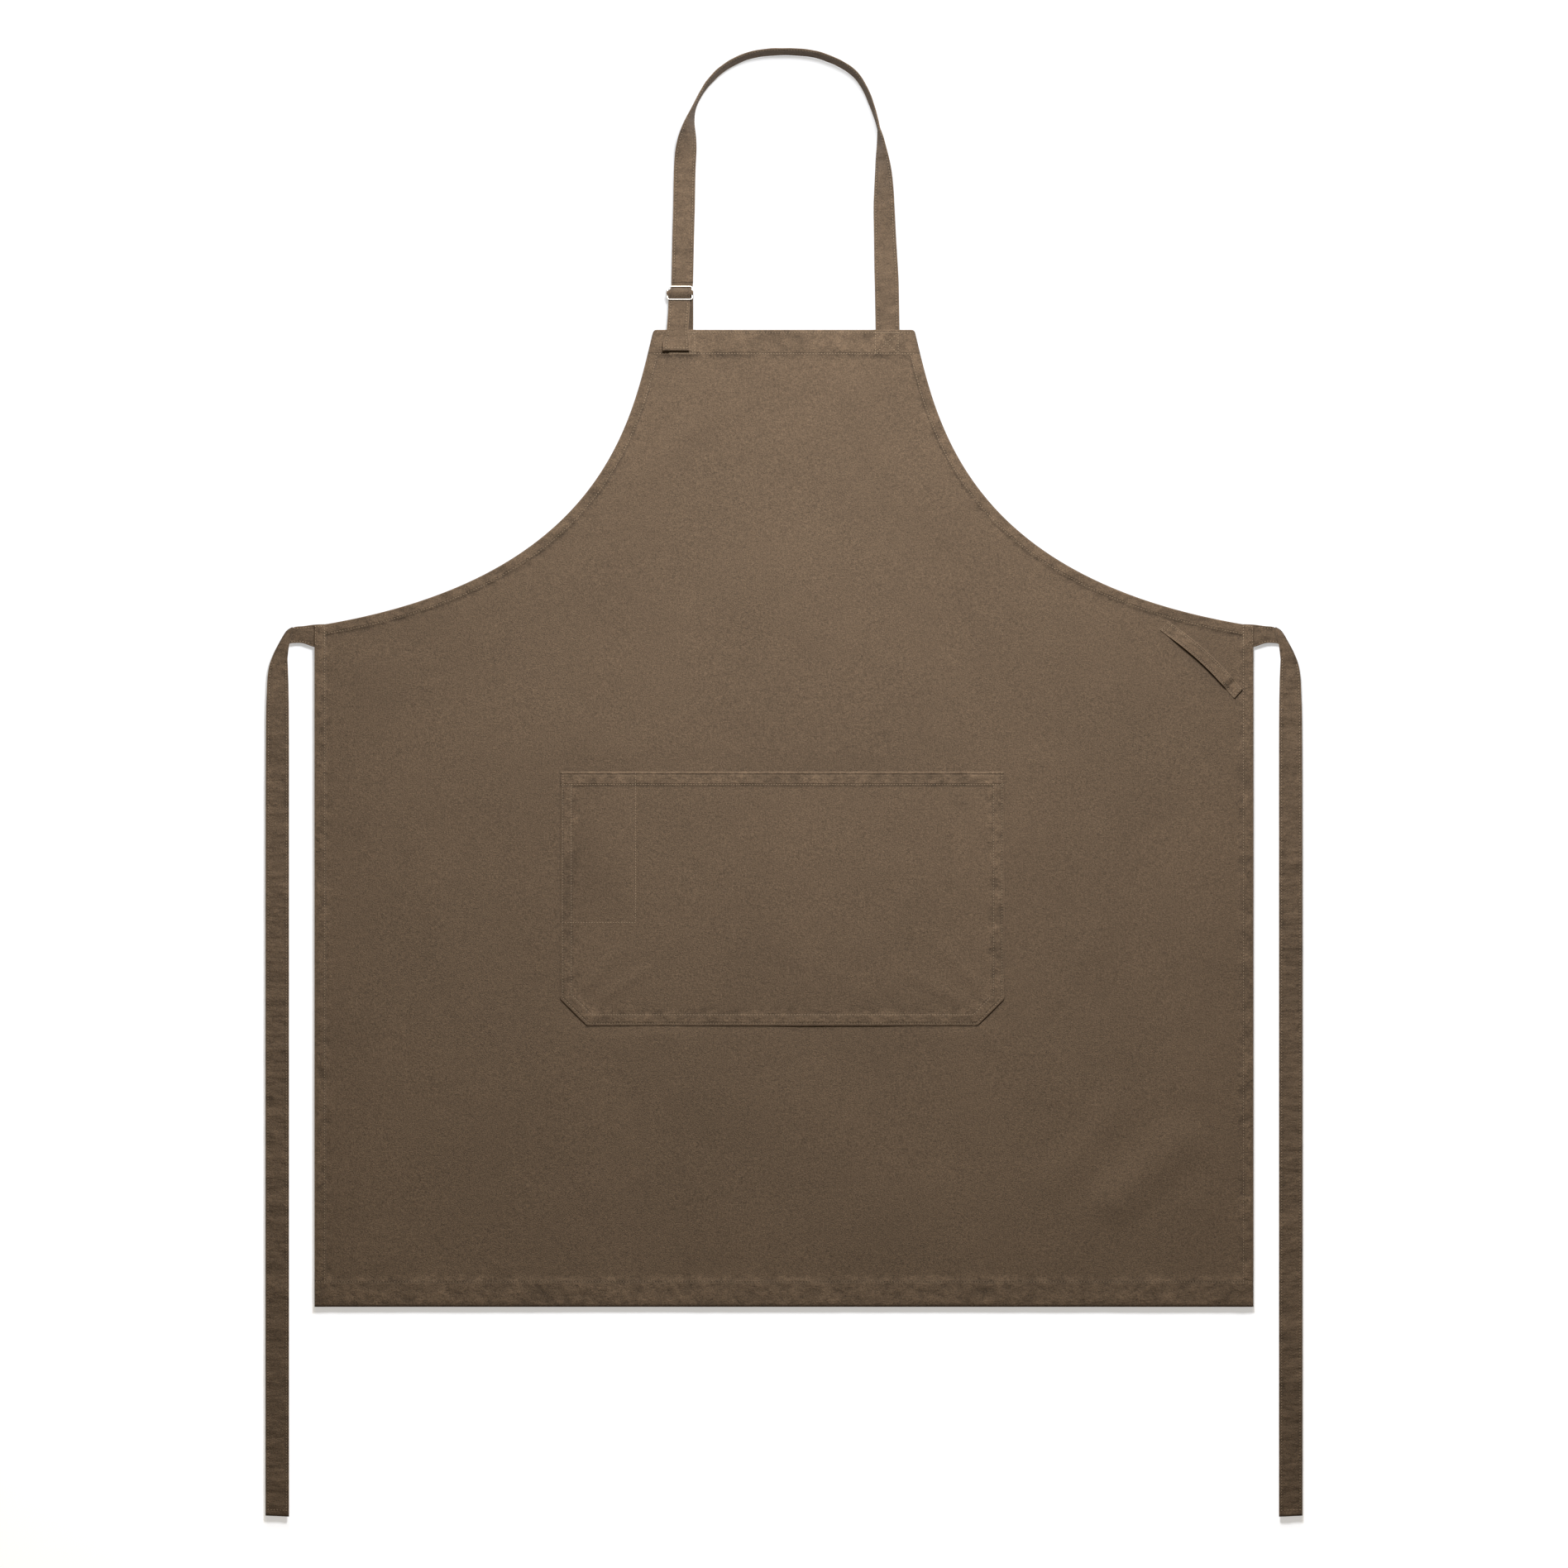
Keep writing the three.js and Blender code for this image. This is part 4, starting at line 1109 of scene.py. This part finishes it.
def loop_line():
    """Middle line of the neck loop in plan, from the left leg round to the right leg."""
    foot, top = FOLD_Y, LOOP_HIGH.y - 3.3
    rise = LOOP_HIGH.y - foot
    keys = [(TAB_X, 0), (TAB_X + 1.6, 0.3), (TAB_X + 4, 0.58), (TAB_X + 12, 0.75), (TAB_X + 32, 0.885),
            (TAB_X + 62, 0.965), (2, (top - foot) / rise), (RIGHT_X - 62, 0.965), (RIGHT_X - 30, 0.885),
            (RIGHT_X - 11, 0.71), (RIGHT_X - 4, 0.5), (RIGHT_X - 2.5, 0.3), (RIGHT_X, 0)]
    return centripetal([(x, foot + part * rise, 0.0) for x, part in keys])


def centripetal(keys):
    """Smooth curve through keys that are unevenly spaced."""
    ends = [tuple(2 * a - b for a, b in zip(keys[0], keys[1]))]
    ends += list(keys)
    ends.append(tuple(2 * a - b for a, b in zip(keys[-1], keys[-2])))
    out = []
    for p in zip(ends, ends[1:], ends[2:], ends[3:]):
        p = [Vector(q) for q in p]
        t = [0.0]
        for a, b in zip(p, p[1:]):
            t.append(t[-1] + max(1e-4, (b - a).length) ** 0.5)
        for i in range(30):
            u = t[1] + (t[2] - t[1]) * i / 30
            a = [p[k] * ((t[k + 1] - u) / (t[k + 1] - t[k])) + p[k + 1] * ((u - t[k]) / (t[k + 1] - t[k]))
                 for k in range(3)]
            b = [a[k] * ((t[k + 2] - u) / (t[k + 2] - t[k])) + a[k + 1] * ((u - t[k]) / (t[k + 2] - t[k]))
                 for k in range(2)]
            out.append(tuple(b[0] * ((t[2] - u) / (t[2] - t[1])) + b[1] * ((u - t[1]) / (t[2] - t[1]))))
    out.append(keys[-1])
    return spaced(out, 2.4)


def loop_steps():
    """Steps of the neck loop and of the right leg down to the bib."""
    line = [Vector(p) for p in loop_line()]
    last = len(line) - 1
    steps = []
    for i, point in enumerate(line):
        u = i / last
        heading = (line[min(i + 1, last)] - line[max(i - 1, 0)]).normalized()
        if i in (0, last):
            heading = Vector((0, 1 if i == 0 else -1, 0))
        left = u < 0.5
        foot, pinch = (FOLD_Y + 112, FOLD_Y + 176) if left else (FOLD_Y + 18, FOLD_Y + 148)
        climb = min(1.0, max(0.0, (point.y - foot) / (pinch - foot)))
        climb = smooth(climb) if left else climb ** 1.9
        tilt = math.radians(88 * climb - 6 * smooth((point.y - pinch) / 30))
        outward = Vector((-heading.y, heading.x, 0))
        sideways = outward * math.cos(tilt) + Vector((0, 0, math.sin(tilt)))
        normal = Vector((0, 0, math.cos(tilt))) - outward * math.sin(tilt)
        height = 10.2 * math.sin(tilt) + 0.65 * math.cos(tilt)
        cup = 0.8 * math.sin(math.pi * min(1.0, u / 0.24)) if u < 0.24 else 0.0
        wide = 1.0 if left else 1 + 0.1 * smooth((FOLD_Y + 60 - point.y) / 60)
        steps.append((Vector((point.x, point.y, height + cup)), sideways * wide, normal))
    count = 30
    for i in range(1, count + 1):
        y = line[-1].y + (RIGHT_END_LOW.y - line[-1].y) * i / count
        steps.append((Vector((RIGHT_X + 1.2 * i / count, y, 0.65)), Vector((1.1, 0, 0)), Vector((0, 0, 1))))
    return steps


def build_neck_strap():
    """The neck strap from the slide, round the neck and down to the right of the bib."""
    steps = loop_steps()
    piece = cloth_object("neck_strap_cloth", band_rows(steps, STRAP_WIDTH, STRAP, 0.5, 2.0))
    coat(piece, "strap canvas", "canvas")
    start, end = (0, FOLD_Y * MM, 0), (0, (FOLD_Y + 14) * MM, 0)
    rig.blend(piece, "apron", "neck_loop", start, end)
    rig.replaces(piece, "strap_neck_loop", "strap_right_end")
    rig.sheet(piece, flat=(0.021, 0.73), held="laid")
    lines = [band_stitches(steps[2:-12], STRAP, side * ROW_OFFSET) for side in (-1, 1)]
    rows = sewn("neck_strap_stitches", lines)
    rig.blend(rows, "apron", "neck_loop", start, end)
    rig.replaces(rows, "neck_loop_stitch_outer", "neck_loop_stitch_inner")


def sunk_by_bars(middle):
    """How deep the thread is pressed into the strap beside a bar of the slide."""
    gap = min((Vector((middle.y, middle.z)) - bar(k)).length for k in (-1, 0, 1))
    return 0.45 * smooth((4.6 - gap) / 1.2)


def build_strap_end():
    """The strap's other end: through the slide and down its front as a free tail."""
    thick = STRAP - 0.1
    high = bar(0).y + 1.5
    steps = [(m + Vector((drift(m.y), 0, 0)), s * (0.99 + 0.25 * smooth((m.z - high) / 2)), -n)
             for m, s, n in turning(through_line())]
    piece = cloth_object("strap_end_cloth", band_rows(steps, STRAP_WIDTH, thick, 0.3, 5.0))
    coat(piece, "strap canvas", "canvas")
    start, end = (0, (TAIL_HIGH.y + 0.3) * MM, 0), (0, (TAIL_HIGH.y - 7) * MM, 0)
    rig.blend(piece, "apron", "tail", start, end)
    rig.replaces(piece, "strap_through_slide", "strap_tail")
    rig.sheet(piece, flat=(0.021, 0.078), held="laid", rests_on=["slide_wire", "body_panel_cloth"])
    lines = [band_stitches(steps[2:-3], thick, side * ROW_OFFSET, sunk_by_bars) for side in (-1, 1)]
    m, s, n = steps[-4]
    lines.append([(*(m + s * (a * 0.82) + n * 0.7), tuple(n)) for a in range(-10, 11, 2)])
    rows = sewn("strap_end_stitches", lines)
    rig.blend(rows, "apron", "tail", start, end)
    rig.replaces(rows, "strap_tail_stitch")


def build_tab():
    """The short doubled tab that holds the slide's middle bar."""
    middle, lower = bar(0), bar(1)
    low = TAB_LOW.y
    turn, clear = 1.7, 3.2
    toward, side = leaving(middle, lower, turn, clear)
    a1 = toward % math.tau - side
    line = [(y, 0.6) for y in (low, low + 12, low + 24, low + 36, low + 46)]
    line += [(middle.x - 5, 0.75), (middle.x - 2.2, 1.35)]
    line += arc(middle, turn, -math.radians(100), a1, 20)
    line += arc(lower, clear, a1 - math.pi, -math.pi / 2, 8)
    line += [(lower.x - 12, 1.85), (low + 24, 1.8), (low + 12, 1.8), (low, 1.8)]
    steps = [(m + Vector((0.6 * smooth((m.y - low - 10) / 20), 0, 0)), s, n)
             for m, s, n in turning(spaced(line, 0.9))]
    piece = cloth_object("neck_tab_cloth", band_rows(steps, TAB_WIDTH, TAB_THICK))
    # The tab takes a darker copy of the canvas, painted shadow under the tail.
    coat(piece, "tab canvas", "canvas")
    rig.ride(piece, "apron")
    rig.replaces(piece, "neck_tab")
    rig.sheet(piece, flat=(0.0204, 0.125), held="folded", rests_on=["slide_wire"])


def tube(points, radius, closed, sides=16):
    """Round wire along points; returns its vertices and faces."""
    count = len(points)
    vertices, faces = [], []
    for i, point in enumerate(points):
        a = points[(i - 1) % count] if closed or i else points[0]
        b = points[(i + 1) % count] if closed or i < count - 1 else points[-1]
        right = (b - a).normalized().cross(SLIDE_NORMAL).normalized()
        for s in range(sides):
            turn = math.tau * s / sides
            vertices.append(point + (right * math.cos(turn) + SLIDE_NORMAL * math.sin(turn)) * radius)
    for i in range(count if closed else count - 1):
        for s in range(sides):
            a, b = i * sides + s, i * sides + (s + 1) % sides
            c, d = (a + sides) % (count * sides), (b + sides) % (count * sides)
            faces.append((a, b, d, c))
    if not closed:
        faces.append(tuple(range(sides - 1, -1, -1)))
        faces.append(tuple(range((count - 1) * sides, count * sides)))
    return vertices, faces


SLIDE_NORMAL = Vector((0, math.sin(TILT), math.cos(TILT)))
SLIDE_SHIFT = -2.3


def build_slide():
    """The three-bar wire slide."""
    wire = bpy.context.scene.apron_sizes.wire / 2 / MM
    half = (SLIDE_HIGH.x - SLIDE_LOW.x) / 2 - WIRE
    corner = 1.9
    upper, lower = bar(-1), bar(1)
    across = Vector((0, lower.x - upper.x, lower.y - upper.y)).normalized()
    middle = Vector((SLIDE_MID.x + SLIDE_SHIFT, SLIDE_MID.y, SLIDE_MID.z))
    outline = []
    for turn, (sx, sy) in enumerate(((1, 1), (-1, 1), (-1, -1), (1, -1))):
        centre = middle + Vector((sx * (half - corner), 0, 0)) + across * (sy * (BAR_PITCH - corner))
        for i in range(9):
            angle = math.pi / 2 * (turn + i / 8)
            outline.append(centre + Vector((corner * math.cos(angle), 0, 0))
                           + across * (corner * math.sin(angle)))
        if turn in (0, 2):
            here = outline[-1]
            beyond = middle + Vector((-sx * (half - corner), 0, 0)) + across * (sy * BAR_PITCH)
            outline += [here.lerp(beyond, k / 8) for k in range(1, 8)]
    vertices, faces = tube(outline, wire * 0.85, True)
    crossbar = [middle + Vector((x, 0, 0)) for x in (-half, -half / 3, half / 3, half)]
    more, sides = tube(crossbar, wire, False)
    faces += [tuple(i + len(vertices) for i in face) for face in sides]
    piece = coat(turned_out(new_object("slide_wire", vertices + more, faces)), "nickel", "nickel")
    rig.ride(piece, "slide")
    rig.replaces(piece, "slide_buckle")


def tie_edges():
    """Matched outer and inner edges of a waist tie from its sewn end, and the height it is sewn at."""
    half = TIE_WIDTH / 2
    y = TIE_HIGH.y - half
    outer_x, inner_x, end = TIE_HIGH.x, TIE_HIGH.x - TIE_WIDTH, TIE_LOW.y
    sewn_x = HALF_PANEL - 9.5
    outer = [(sewn_x, y + half), (HALF_PANEL, y + half - 0.4)]
    outer += [(outer_x + dx, y + dy) for dx, dy in (
        (-37, 9.6), (-27, 8.2), (-19.5, 1.6), (-12, -10), (-6, -21.5), (-2.7, -34), (-1.3, -53),
        (-0.3, -105), (0, -300))]
    outer.append((outer_x, end + 2.5))
    inner = [(sewn_x, y - half), (HALF_PANEL, y - half + 0.6)]
    inner += [(inner_x + dx, y + dy) for dx, dy in (
        (-13.5, -7.2), (-5.5, -6.9), (-0.2, -8), (1.9, -13), (1.4, -23), (0.9, -35), (0.4, -54),
        (0, -105), (0, -300))]
    inner.append((inner_x, end + 1.5))
    rings = spline([(*a, *b) for a, b in zip(outer, inner)], 330)
    start = len(rings) * 10 // 11
    return rings[:start] + spaced(rings[start:], 3.0), y


def fold_over(side, y, outer_x, inner_x):
    """The tie's turned part, lying over the stub that comes out of the panel."""
    keys = [(outer_x - 26, y + 8.6, inner_x - 4.2, y + 7.6), (outer_x - 20, y + 4.4, inner_x - 2.8, y + 1),
            (outer_x - 13.2, y - 7, inner_x - 0.8, y - 6.5), (outer_x - 7.2, y - 19, inner_x + 0.6, y - 16),
            (outer_x - 3.9, y - 31, inner_x + 1.8, y - 28), (outer_x - 3.4, y - 42, inner_x + 2.2, y - 40)]
    rows = []
    rings = spline(keys, 60)
    for i, (ox, oy, ix, iy) in enumerate(rings):
        u = i / (len(rings) - 1)
        row = []
        for across, share in BAND:
            x, y_at = ix + (ox - ix) * (across + 1) / 2, iy + (oy - iy) * (across + 1) / 2
            wave = 0.5 * wander(u * 40 + across * 6, across * 6, 12, 5.0 + side)
            z = 3.1 + wave * smooth(u * 5) - 2.3 * smooth((u - 0.45) / 0.5)
            z -= 0.8 * smooth((across - 0.4) / 0.6)
            front, back = ((side * x, y_at, z + half * share) for half in (0.55, -0.55))
            row.append((front, back, (1 - abs(across)) * TIE_WIDTH / 2, STRAP_HEM))
        rows.append(row)
    return cloth_object("fold_over", rows)


def joined(piece, other):
    """Adds another object's mesh to a piece."""
    shells = bmesh.new()
    shells.from_mesh(piece.data)
    shells.from_mesh(other.data)
    shells.to_mesh(piece.data)
    shells.free()
    bpy.data.objects.remove(other)
    return piece


def build_tie(side, label):
    """One waist tie: sewn end, soft fold and the free length laid down the side."""
    line, y0 = tie_edges()
    inner_x = TIE_HIGH.x - TIE_WIDTH
    rows, middles, place = [], [], 0.0
    for i, (ox, oy, ix, iy) in enumerate(line):
        outer, inner = Vector((ox, oy, 0)), Vector((ix, iy, 0))
        middle = (outer + inner) / 2
        if i:
            place += (middle - middles[-1]).length
        middles.append(middle)
        sewn_end = smooth((ox - HALF_PANEL - 1) / 6)
        bend = math.exp(-((middle - Vector((inner_x + 6, y0 - 6, 0))).length / 24) ** 2)
        row = []
        for across, share in BAND:
            point = middle + (outer - middle) * across
            away = (1 - abs(across)) * TIE_WIDTH / 2
            wave = 0.8 * wander(place + across * 7, across * 8, 12, 3.0 + side)
            wave += 0.8 * wander(place, across * 3, 45, 8.0 + side)
            lift = (0.35 + wave) * sewn_end * smooth(away / 2 + 0.35)
            lift += bend * sewn_end * (0.5 + 0.5 * math.sin(across * 6 + side * place * 0.12))
            z = 0.62 + max(0.0, lift)
            front, back = ((side * point.x, point.y, z + half * share) for half in (0.6, -0.6))
            row.append((front, back, away, STRAP_HEM))
        rows.append(row)
    name = "waist_tie_" + label
    piece = joined(cloth_object(name + "_cloth", rows), fold_over(side, y0, TIE_HIGH.x, inner_x))
    coat(piece, "tie canvas", "canvas")
    start = (side * (HALF_PANEL + 0.6) * MM, 0, 0)
    end = (side * (HALF_PANEL + 14) * MM, 0, 0)
    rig.blend(piece, "apron", "tie_" + label, start, end)
    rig.replaces(piece, name, name + "_end")
    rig.sheet(piece, flat=(0.0228, 0.89), held="laid")
    lines = [[row[column][0] for row in rows[46:-2]] for column in (4, len(BAND) - 5)]
    lines.append([point[0] for point in rows[-3][4:-4]])
    stitches = sewn(name + "_stitches", [[(x, y, z + ROW_LIFT, UP) for x, y, z in line] for line in lines])
    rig.blend(stitches, "apron", "tie_" + label, start, end)
    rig.replaces(stitches, name + "_stitch")


def build_towel_loop():
    """The towel loop: a narrow doubled strip, tacked at each end and standing off the panel between."""
    down = Vector((1, -0.92, 0)).normalized()
    side = Vector((0.92, 1, 0)).normalized()
    span, count = 94.0, 90
    start = Vector((TOWEL_LOW.x, TOWEL_HIGH.y, 0))
    start += Vector((1, -1, 0)) * (TOWEL_WIDTH / 2 / math.sqrt(2)) + down * 2
    points = []
    for i in range(count + 1):
        s = -2 + (span + 4) * i / count
        part = s / span
        lifted = min(smooth((part - 0.03) / 0.25), 1 - smooth((part - 0.83) / 0.08))
        rise = 0.52 * (TOWEL_HIGH.z - 2.9) * lifted
        x, y, _ = start + down * s + side * (3.2 * math.sin(math.pi * min(1.0, max(0.0, part))))
        points.append(Vector((x, y, panel_top(x, y) + 0.75 + rise)))
    steps = []
    for i, point in enumerate(points):
        heading = (points[min(count, i + 1)] - points[max(0, i - 1)]).normalized()
        steps.append((point, side, heading.cross(side).normalized()))
    piece = cloth_object("towel_loop_cloth", band_rows(steps, TOWEL_WIDTH, TOWEL_THICK, 0.1, 4.0))
    # The loop takes a lighter copy of the canvas, painted light on its raised face.
    coat(piece, "loop canvas", "canvas")
    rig.ride(piece, "apron")
    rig.replaces(piece, "towel_loop")
    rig.sheet(piece, flat=(0.012, 0.102), held="laid", rests_on=["body_panel_cloth"])
    lines = [band_stitches(steps[1:-1], TOWEL_THICK, edge * 4.0) for edge in (-1, 1)]
    for spot in (2, 5, count - 5, count - 2):
        m, s, n = steps[spot]
        lines.append([(*(m + s * a + n * 0.75), tuple(n)) for a in (-4.8, -2.4, 0, 2.4, 4.8)])
    rows = sewn("towel_loop_stitches", lines, 0.9)
    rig.ride(rows, "apron")
    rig.replaces(rows, "towel_loop_tack_upper", "towel_loop_tack_lower")


# ---- stage ----


def build_camera():
    """Camera straight above the apron."""
    lens = bpy.data.cameras.new("camera")
    lens.lens, lens.sensor_width = 100, 36
    lens.clip_end = 50
    eye = linked("camera", lens)
    eye.location = (0, 0, 4.2133)
    bpy.context.scene.camera = eye


def build_stage():
    """Pale floor, one soft lamp above the neck end and an even fill."""
    scene = bpy.context.scene
    half = STAGE_SIZE / 2 / MM
    corners = [(x * half, y * half, FLOOR_Z) for x, y in ((-1, -1), (1, -1), (1, 1), (-1, 1))]
    floor = new_object("floor", corners, [(0, 1, 2, 3)])
    floor.data.materials.append(floor_material(scene.apron_colours))
    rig.stage(floor)
    lamp = bpy.data.lights.new("soft lamp", "AREA")
    lamp.shape, lamp.size, lamp.energy = "DISK", 0.42, 37.0
    hung = linked("soft lamp", lamp)
    hung.location = LAMP
    hung.rotation_euler = (LAMP_AIM - LAMP).to_track_quat("-Z", "Y").to_euler()
    hung.visible_camera = False
    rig.stage(hung)
    for name, turn, rise, strength in (("low lamp", 90, 19, 1.0), ("left lamp", 185, 21, 0.32),
                                       ("right lamp", -5, 21, 0.32)):
        low = bpy.data.lights.new(name, "SUN")
        low.energy, low.angle = strength, math.radians(14)
        low.color = (1.0, 0.86, 0.64)
        far = linked(name, low)
        angle, height = math.radians(turn), math.radians(rise)
        level = math.cos(height)
        toward = Vector((math.cos(angle) * level, math.sin(angle) * level, math.sin(height)))
        far.rotation_euler = (-toward).to_track_quat("-Z", "Y").to_euler()
        far.location = toward * 3
        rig.stage(far)
    scene.world = bpy.data.worlds.new("studio")
    scene.world.use_nodes = True
    tree = scene.world.node_tree
    fill, wall = tree.nodes["Background"], tree.nodes.new("ShaderNodeBackground")
    for light, colour, strength in ((fill, (1.0, 0.85, 0.63, 1), 0.11), (wall, (1, 1, 1, 1), 0.74)):
        light.inputs["Color"].default_value = colour
        light.inputs["Strength"].default_value = strength
    seen = tree.nodes.new("ShaderNodeLightPath")
    either = tree.nodes.new("ShaderNodeMixShader")
    for i, output in enumerate((seen.outputs["Is Camera Ray"], fill.outputs[0], wall.outputs[0])):
        tree.links.new(output, either.inputs[i])
    tree.links.new(either.outputs[0], tree.nodes["World Output"].inputs["Surface"])
    scene.view_settings.view_transform = "Standard"


def build_materials():
    """Every material, and the stitch node tree that uses the thread."""
    scene = bpy.context.scene
    groups = {"weave": weave_group(scene.apron_sizes.weave_pitch), "wash": wash_group(), "hem": hem_group()}
    canvas_material(groups, "panel canvas", 0.24, 0.18, 1.0)
    canvas_material(groups, "pocket canvas", 0.24, 0.18, 0.9, 1.03, 2.8, 0.12)
    canvas_material(groups, "strap canvas", 0.2, 0.24, 0.9, 0.98, creases=8.0)
    canvas_material(groups, "tie canvas", 0.2, 0.26, 0.9, 0.94, creases=9.0)
    # The tab's canvas is painted darker (tone 0.72): painted shadow from the tail that lies over it.
    canvas_material(groups, "tab canvas", 0.2, 0.24, 0.9, 0.72)
    # The towel loop's canvas is painted lighter (tone 1.12): a painted highlight on the raised loop's face.
    canvas_material(groups, "loop canvas", 0.2, 0.24, 0.9, 1.12)
    stitch_tree(thread_material(scene.apron_colours))
    nickel_material(scene.apron_colours)


# ---- add-on ----


def build_ties():
    """Both waist ties."""
    build_tie(-1, "left")
    build_tie(1, "right")


def run(operator, *parts):
    """Runs an operator's build functions in order; one that can't finish raises an error that says so."""
    try:
        for part in parts:
            part()
    except (KeyError, ValueError, RuntimeError, TypeError, IndexError) as problem:
        raise RuntimeError(f"{operator.bl_label} can't finish: {problem}") from problem
    return {"FINISHED"}


class APRON_OT_camera(bpy.types.Operator):
    """Set the camera above the apron"""

    bl_idname = "apron.camera"
    bl_label = "Camera"
    bl_options = {"REGISTER", "UNDO"}

    def execute(self, context):
        return run(self, build_camera)


class APRON_OT_materials(bpy.types.Operator):
    """Make every material"""

    bl_idname = "apron.materials"
    bl_label = "Materials"
    bl_options = {"REGISTER", "UNDO"}

    def execute(self, context):
        return run(self, build_materials)


class APRON_OT_panel(bpy.types.Operator):
    """Make the body panel and its sewing"""

    bl_idname = "apron.panel"
    bl_label = "Body Panel"
    bl_options = {"REGISTER", "UNDO"}

    def execute(self, context):
        return run(self, build_panel, build_panel_stitches)


class APRON_OT_pocket(bpy.types.Operator):
    """Make the patch pocket and its sewing"""

    bl_idname = "apron.pocket"
    bl_label = "Pocket"
    bl_options = {"REGISTER", "UNDO"}

    def execute(self, context):
        return run(self, build_pocket, build_pocket_stitches)


class APRON_OT_neck(bpy.types.Operator):
    """Make the neck strap"""

    bl_idname = "apron.neck"
    bl_label = "Neck Strap"
    bl_options = {"REGISTER", "UNDO"}

    def execute(self, context):
        return run(self, build_neck_strap)


class APRON_OT_slide(bpy.types.Operator):
    """Make the slide, its tab and the strap through it"""

    bl_idname = "apron.slide"
    bl_label = "Slide"
    bl_options = {"REGISTER", "UNDO"}

    def execute(self, context):
        return run(self, build_slide, build_tab, build_strap_end)


class APRON_OT_ties(bpy.types.Operator):
    """Make both waist ties"""

    bl_idname = "apron.ties"
    bl_label = "Waist Ties"
    bl_options = {"REGISTER", "UNDO"}

    def execute(self, context):
        return run(self, build_ties)


class APRON_OT_towel(bpy.types.Operator):
    """Make the towel loop"""

    bl_idname = "apron.towel"
    bl_label = "Towel Loop"
    bl_options = {"REGISTER", "UNDO"}

    def execute(self, context):
        return run(self, build_towel_loop)


class APRON_OT_stage(bpy.types.Operator):
    """Make the floor and the light"""

    bl_idname = "apron.stage"
    bl_label = "Stage"
    bl_options = {"REGISTER", "UNDO"}

    def execute(self, context):
        return run(self, build_stage)


STEPS = (
    APRON_OT_camera, APRON_OT_materials, APRON_OT_panel, APRON_OT_pocket, APRON_OT_neck,
    APRON_OT_slide, APRON_OT_ties, APRON_OT_towel, APRON_OT_stage)


class APRON_PT_main(bpy.types.Panel):
    """Lists the steps of the making."""

    bl_label = "Butcher Apron"
    bl_space_type = "VIEW_3D"
    bl_region_type = "UI"
    bl_category = "Apron"

    def draw(self, context):
        for settings in (context.scene.apron_sizes, context.scene.apron_colours):
            for field in settings.bl_rna.properties.keys():
                if field not in ("rna_type", "name"):
                    self.layout.prop(settings, field)
        for operator in STEPS:
            self.layout.operator(operator.bl_idname)


CLASSES = (ApronSizes, ApronColours, *STEPS, APRON_PT_main)


def register():
    """Adds the settings, the steps and the panel."""
    for kind in CLASSES:
        bpy.utils.register_class(kind)
    bpy.types.Scene.apron_sizes = PointerProperty(type=ApronSizes)
    bpy.types.Scene.apron_colours = PointerProperty(type=ApronColours)


def unregister():
    """Removes what register() added."""
    del bpy.types.Scene.apron_sizes, bpy.types.Scene.apron_colours
    for kind in reversed(CLASSES):
        bpy.utils.unregister_class(kind)


def main():
    """Builds the whole apron and writes down its size."""
    register()
    bpy.ops.apron.camera()
    bpy.ops.apron.materials()
    bpy.ops.apron.panel()
    bpy.ops.apron.pocket()
    bpy.ops.apron.neck()
    bpy.ops.apron.slide()
    bpy.ops.apron.ties()
    bpy.ops.apron.towel()
    bpy.ops.apron.stage()
    bpy.context.view_layer.update()
    low, high = (list(corner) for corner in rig.bounds())
    with open("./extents.json", "w") as out:
        json.dump({"cad": [cad_low, cad_high], "visual": [low, high]}, out)


if __name__ == "__main__":
    main()
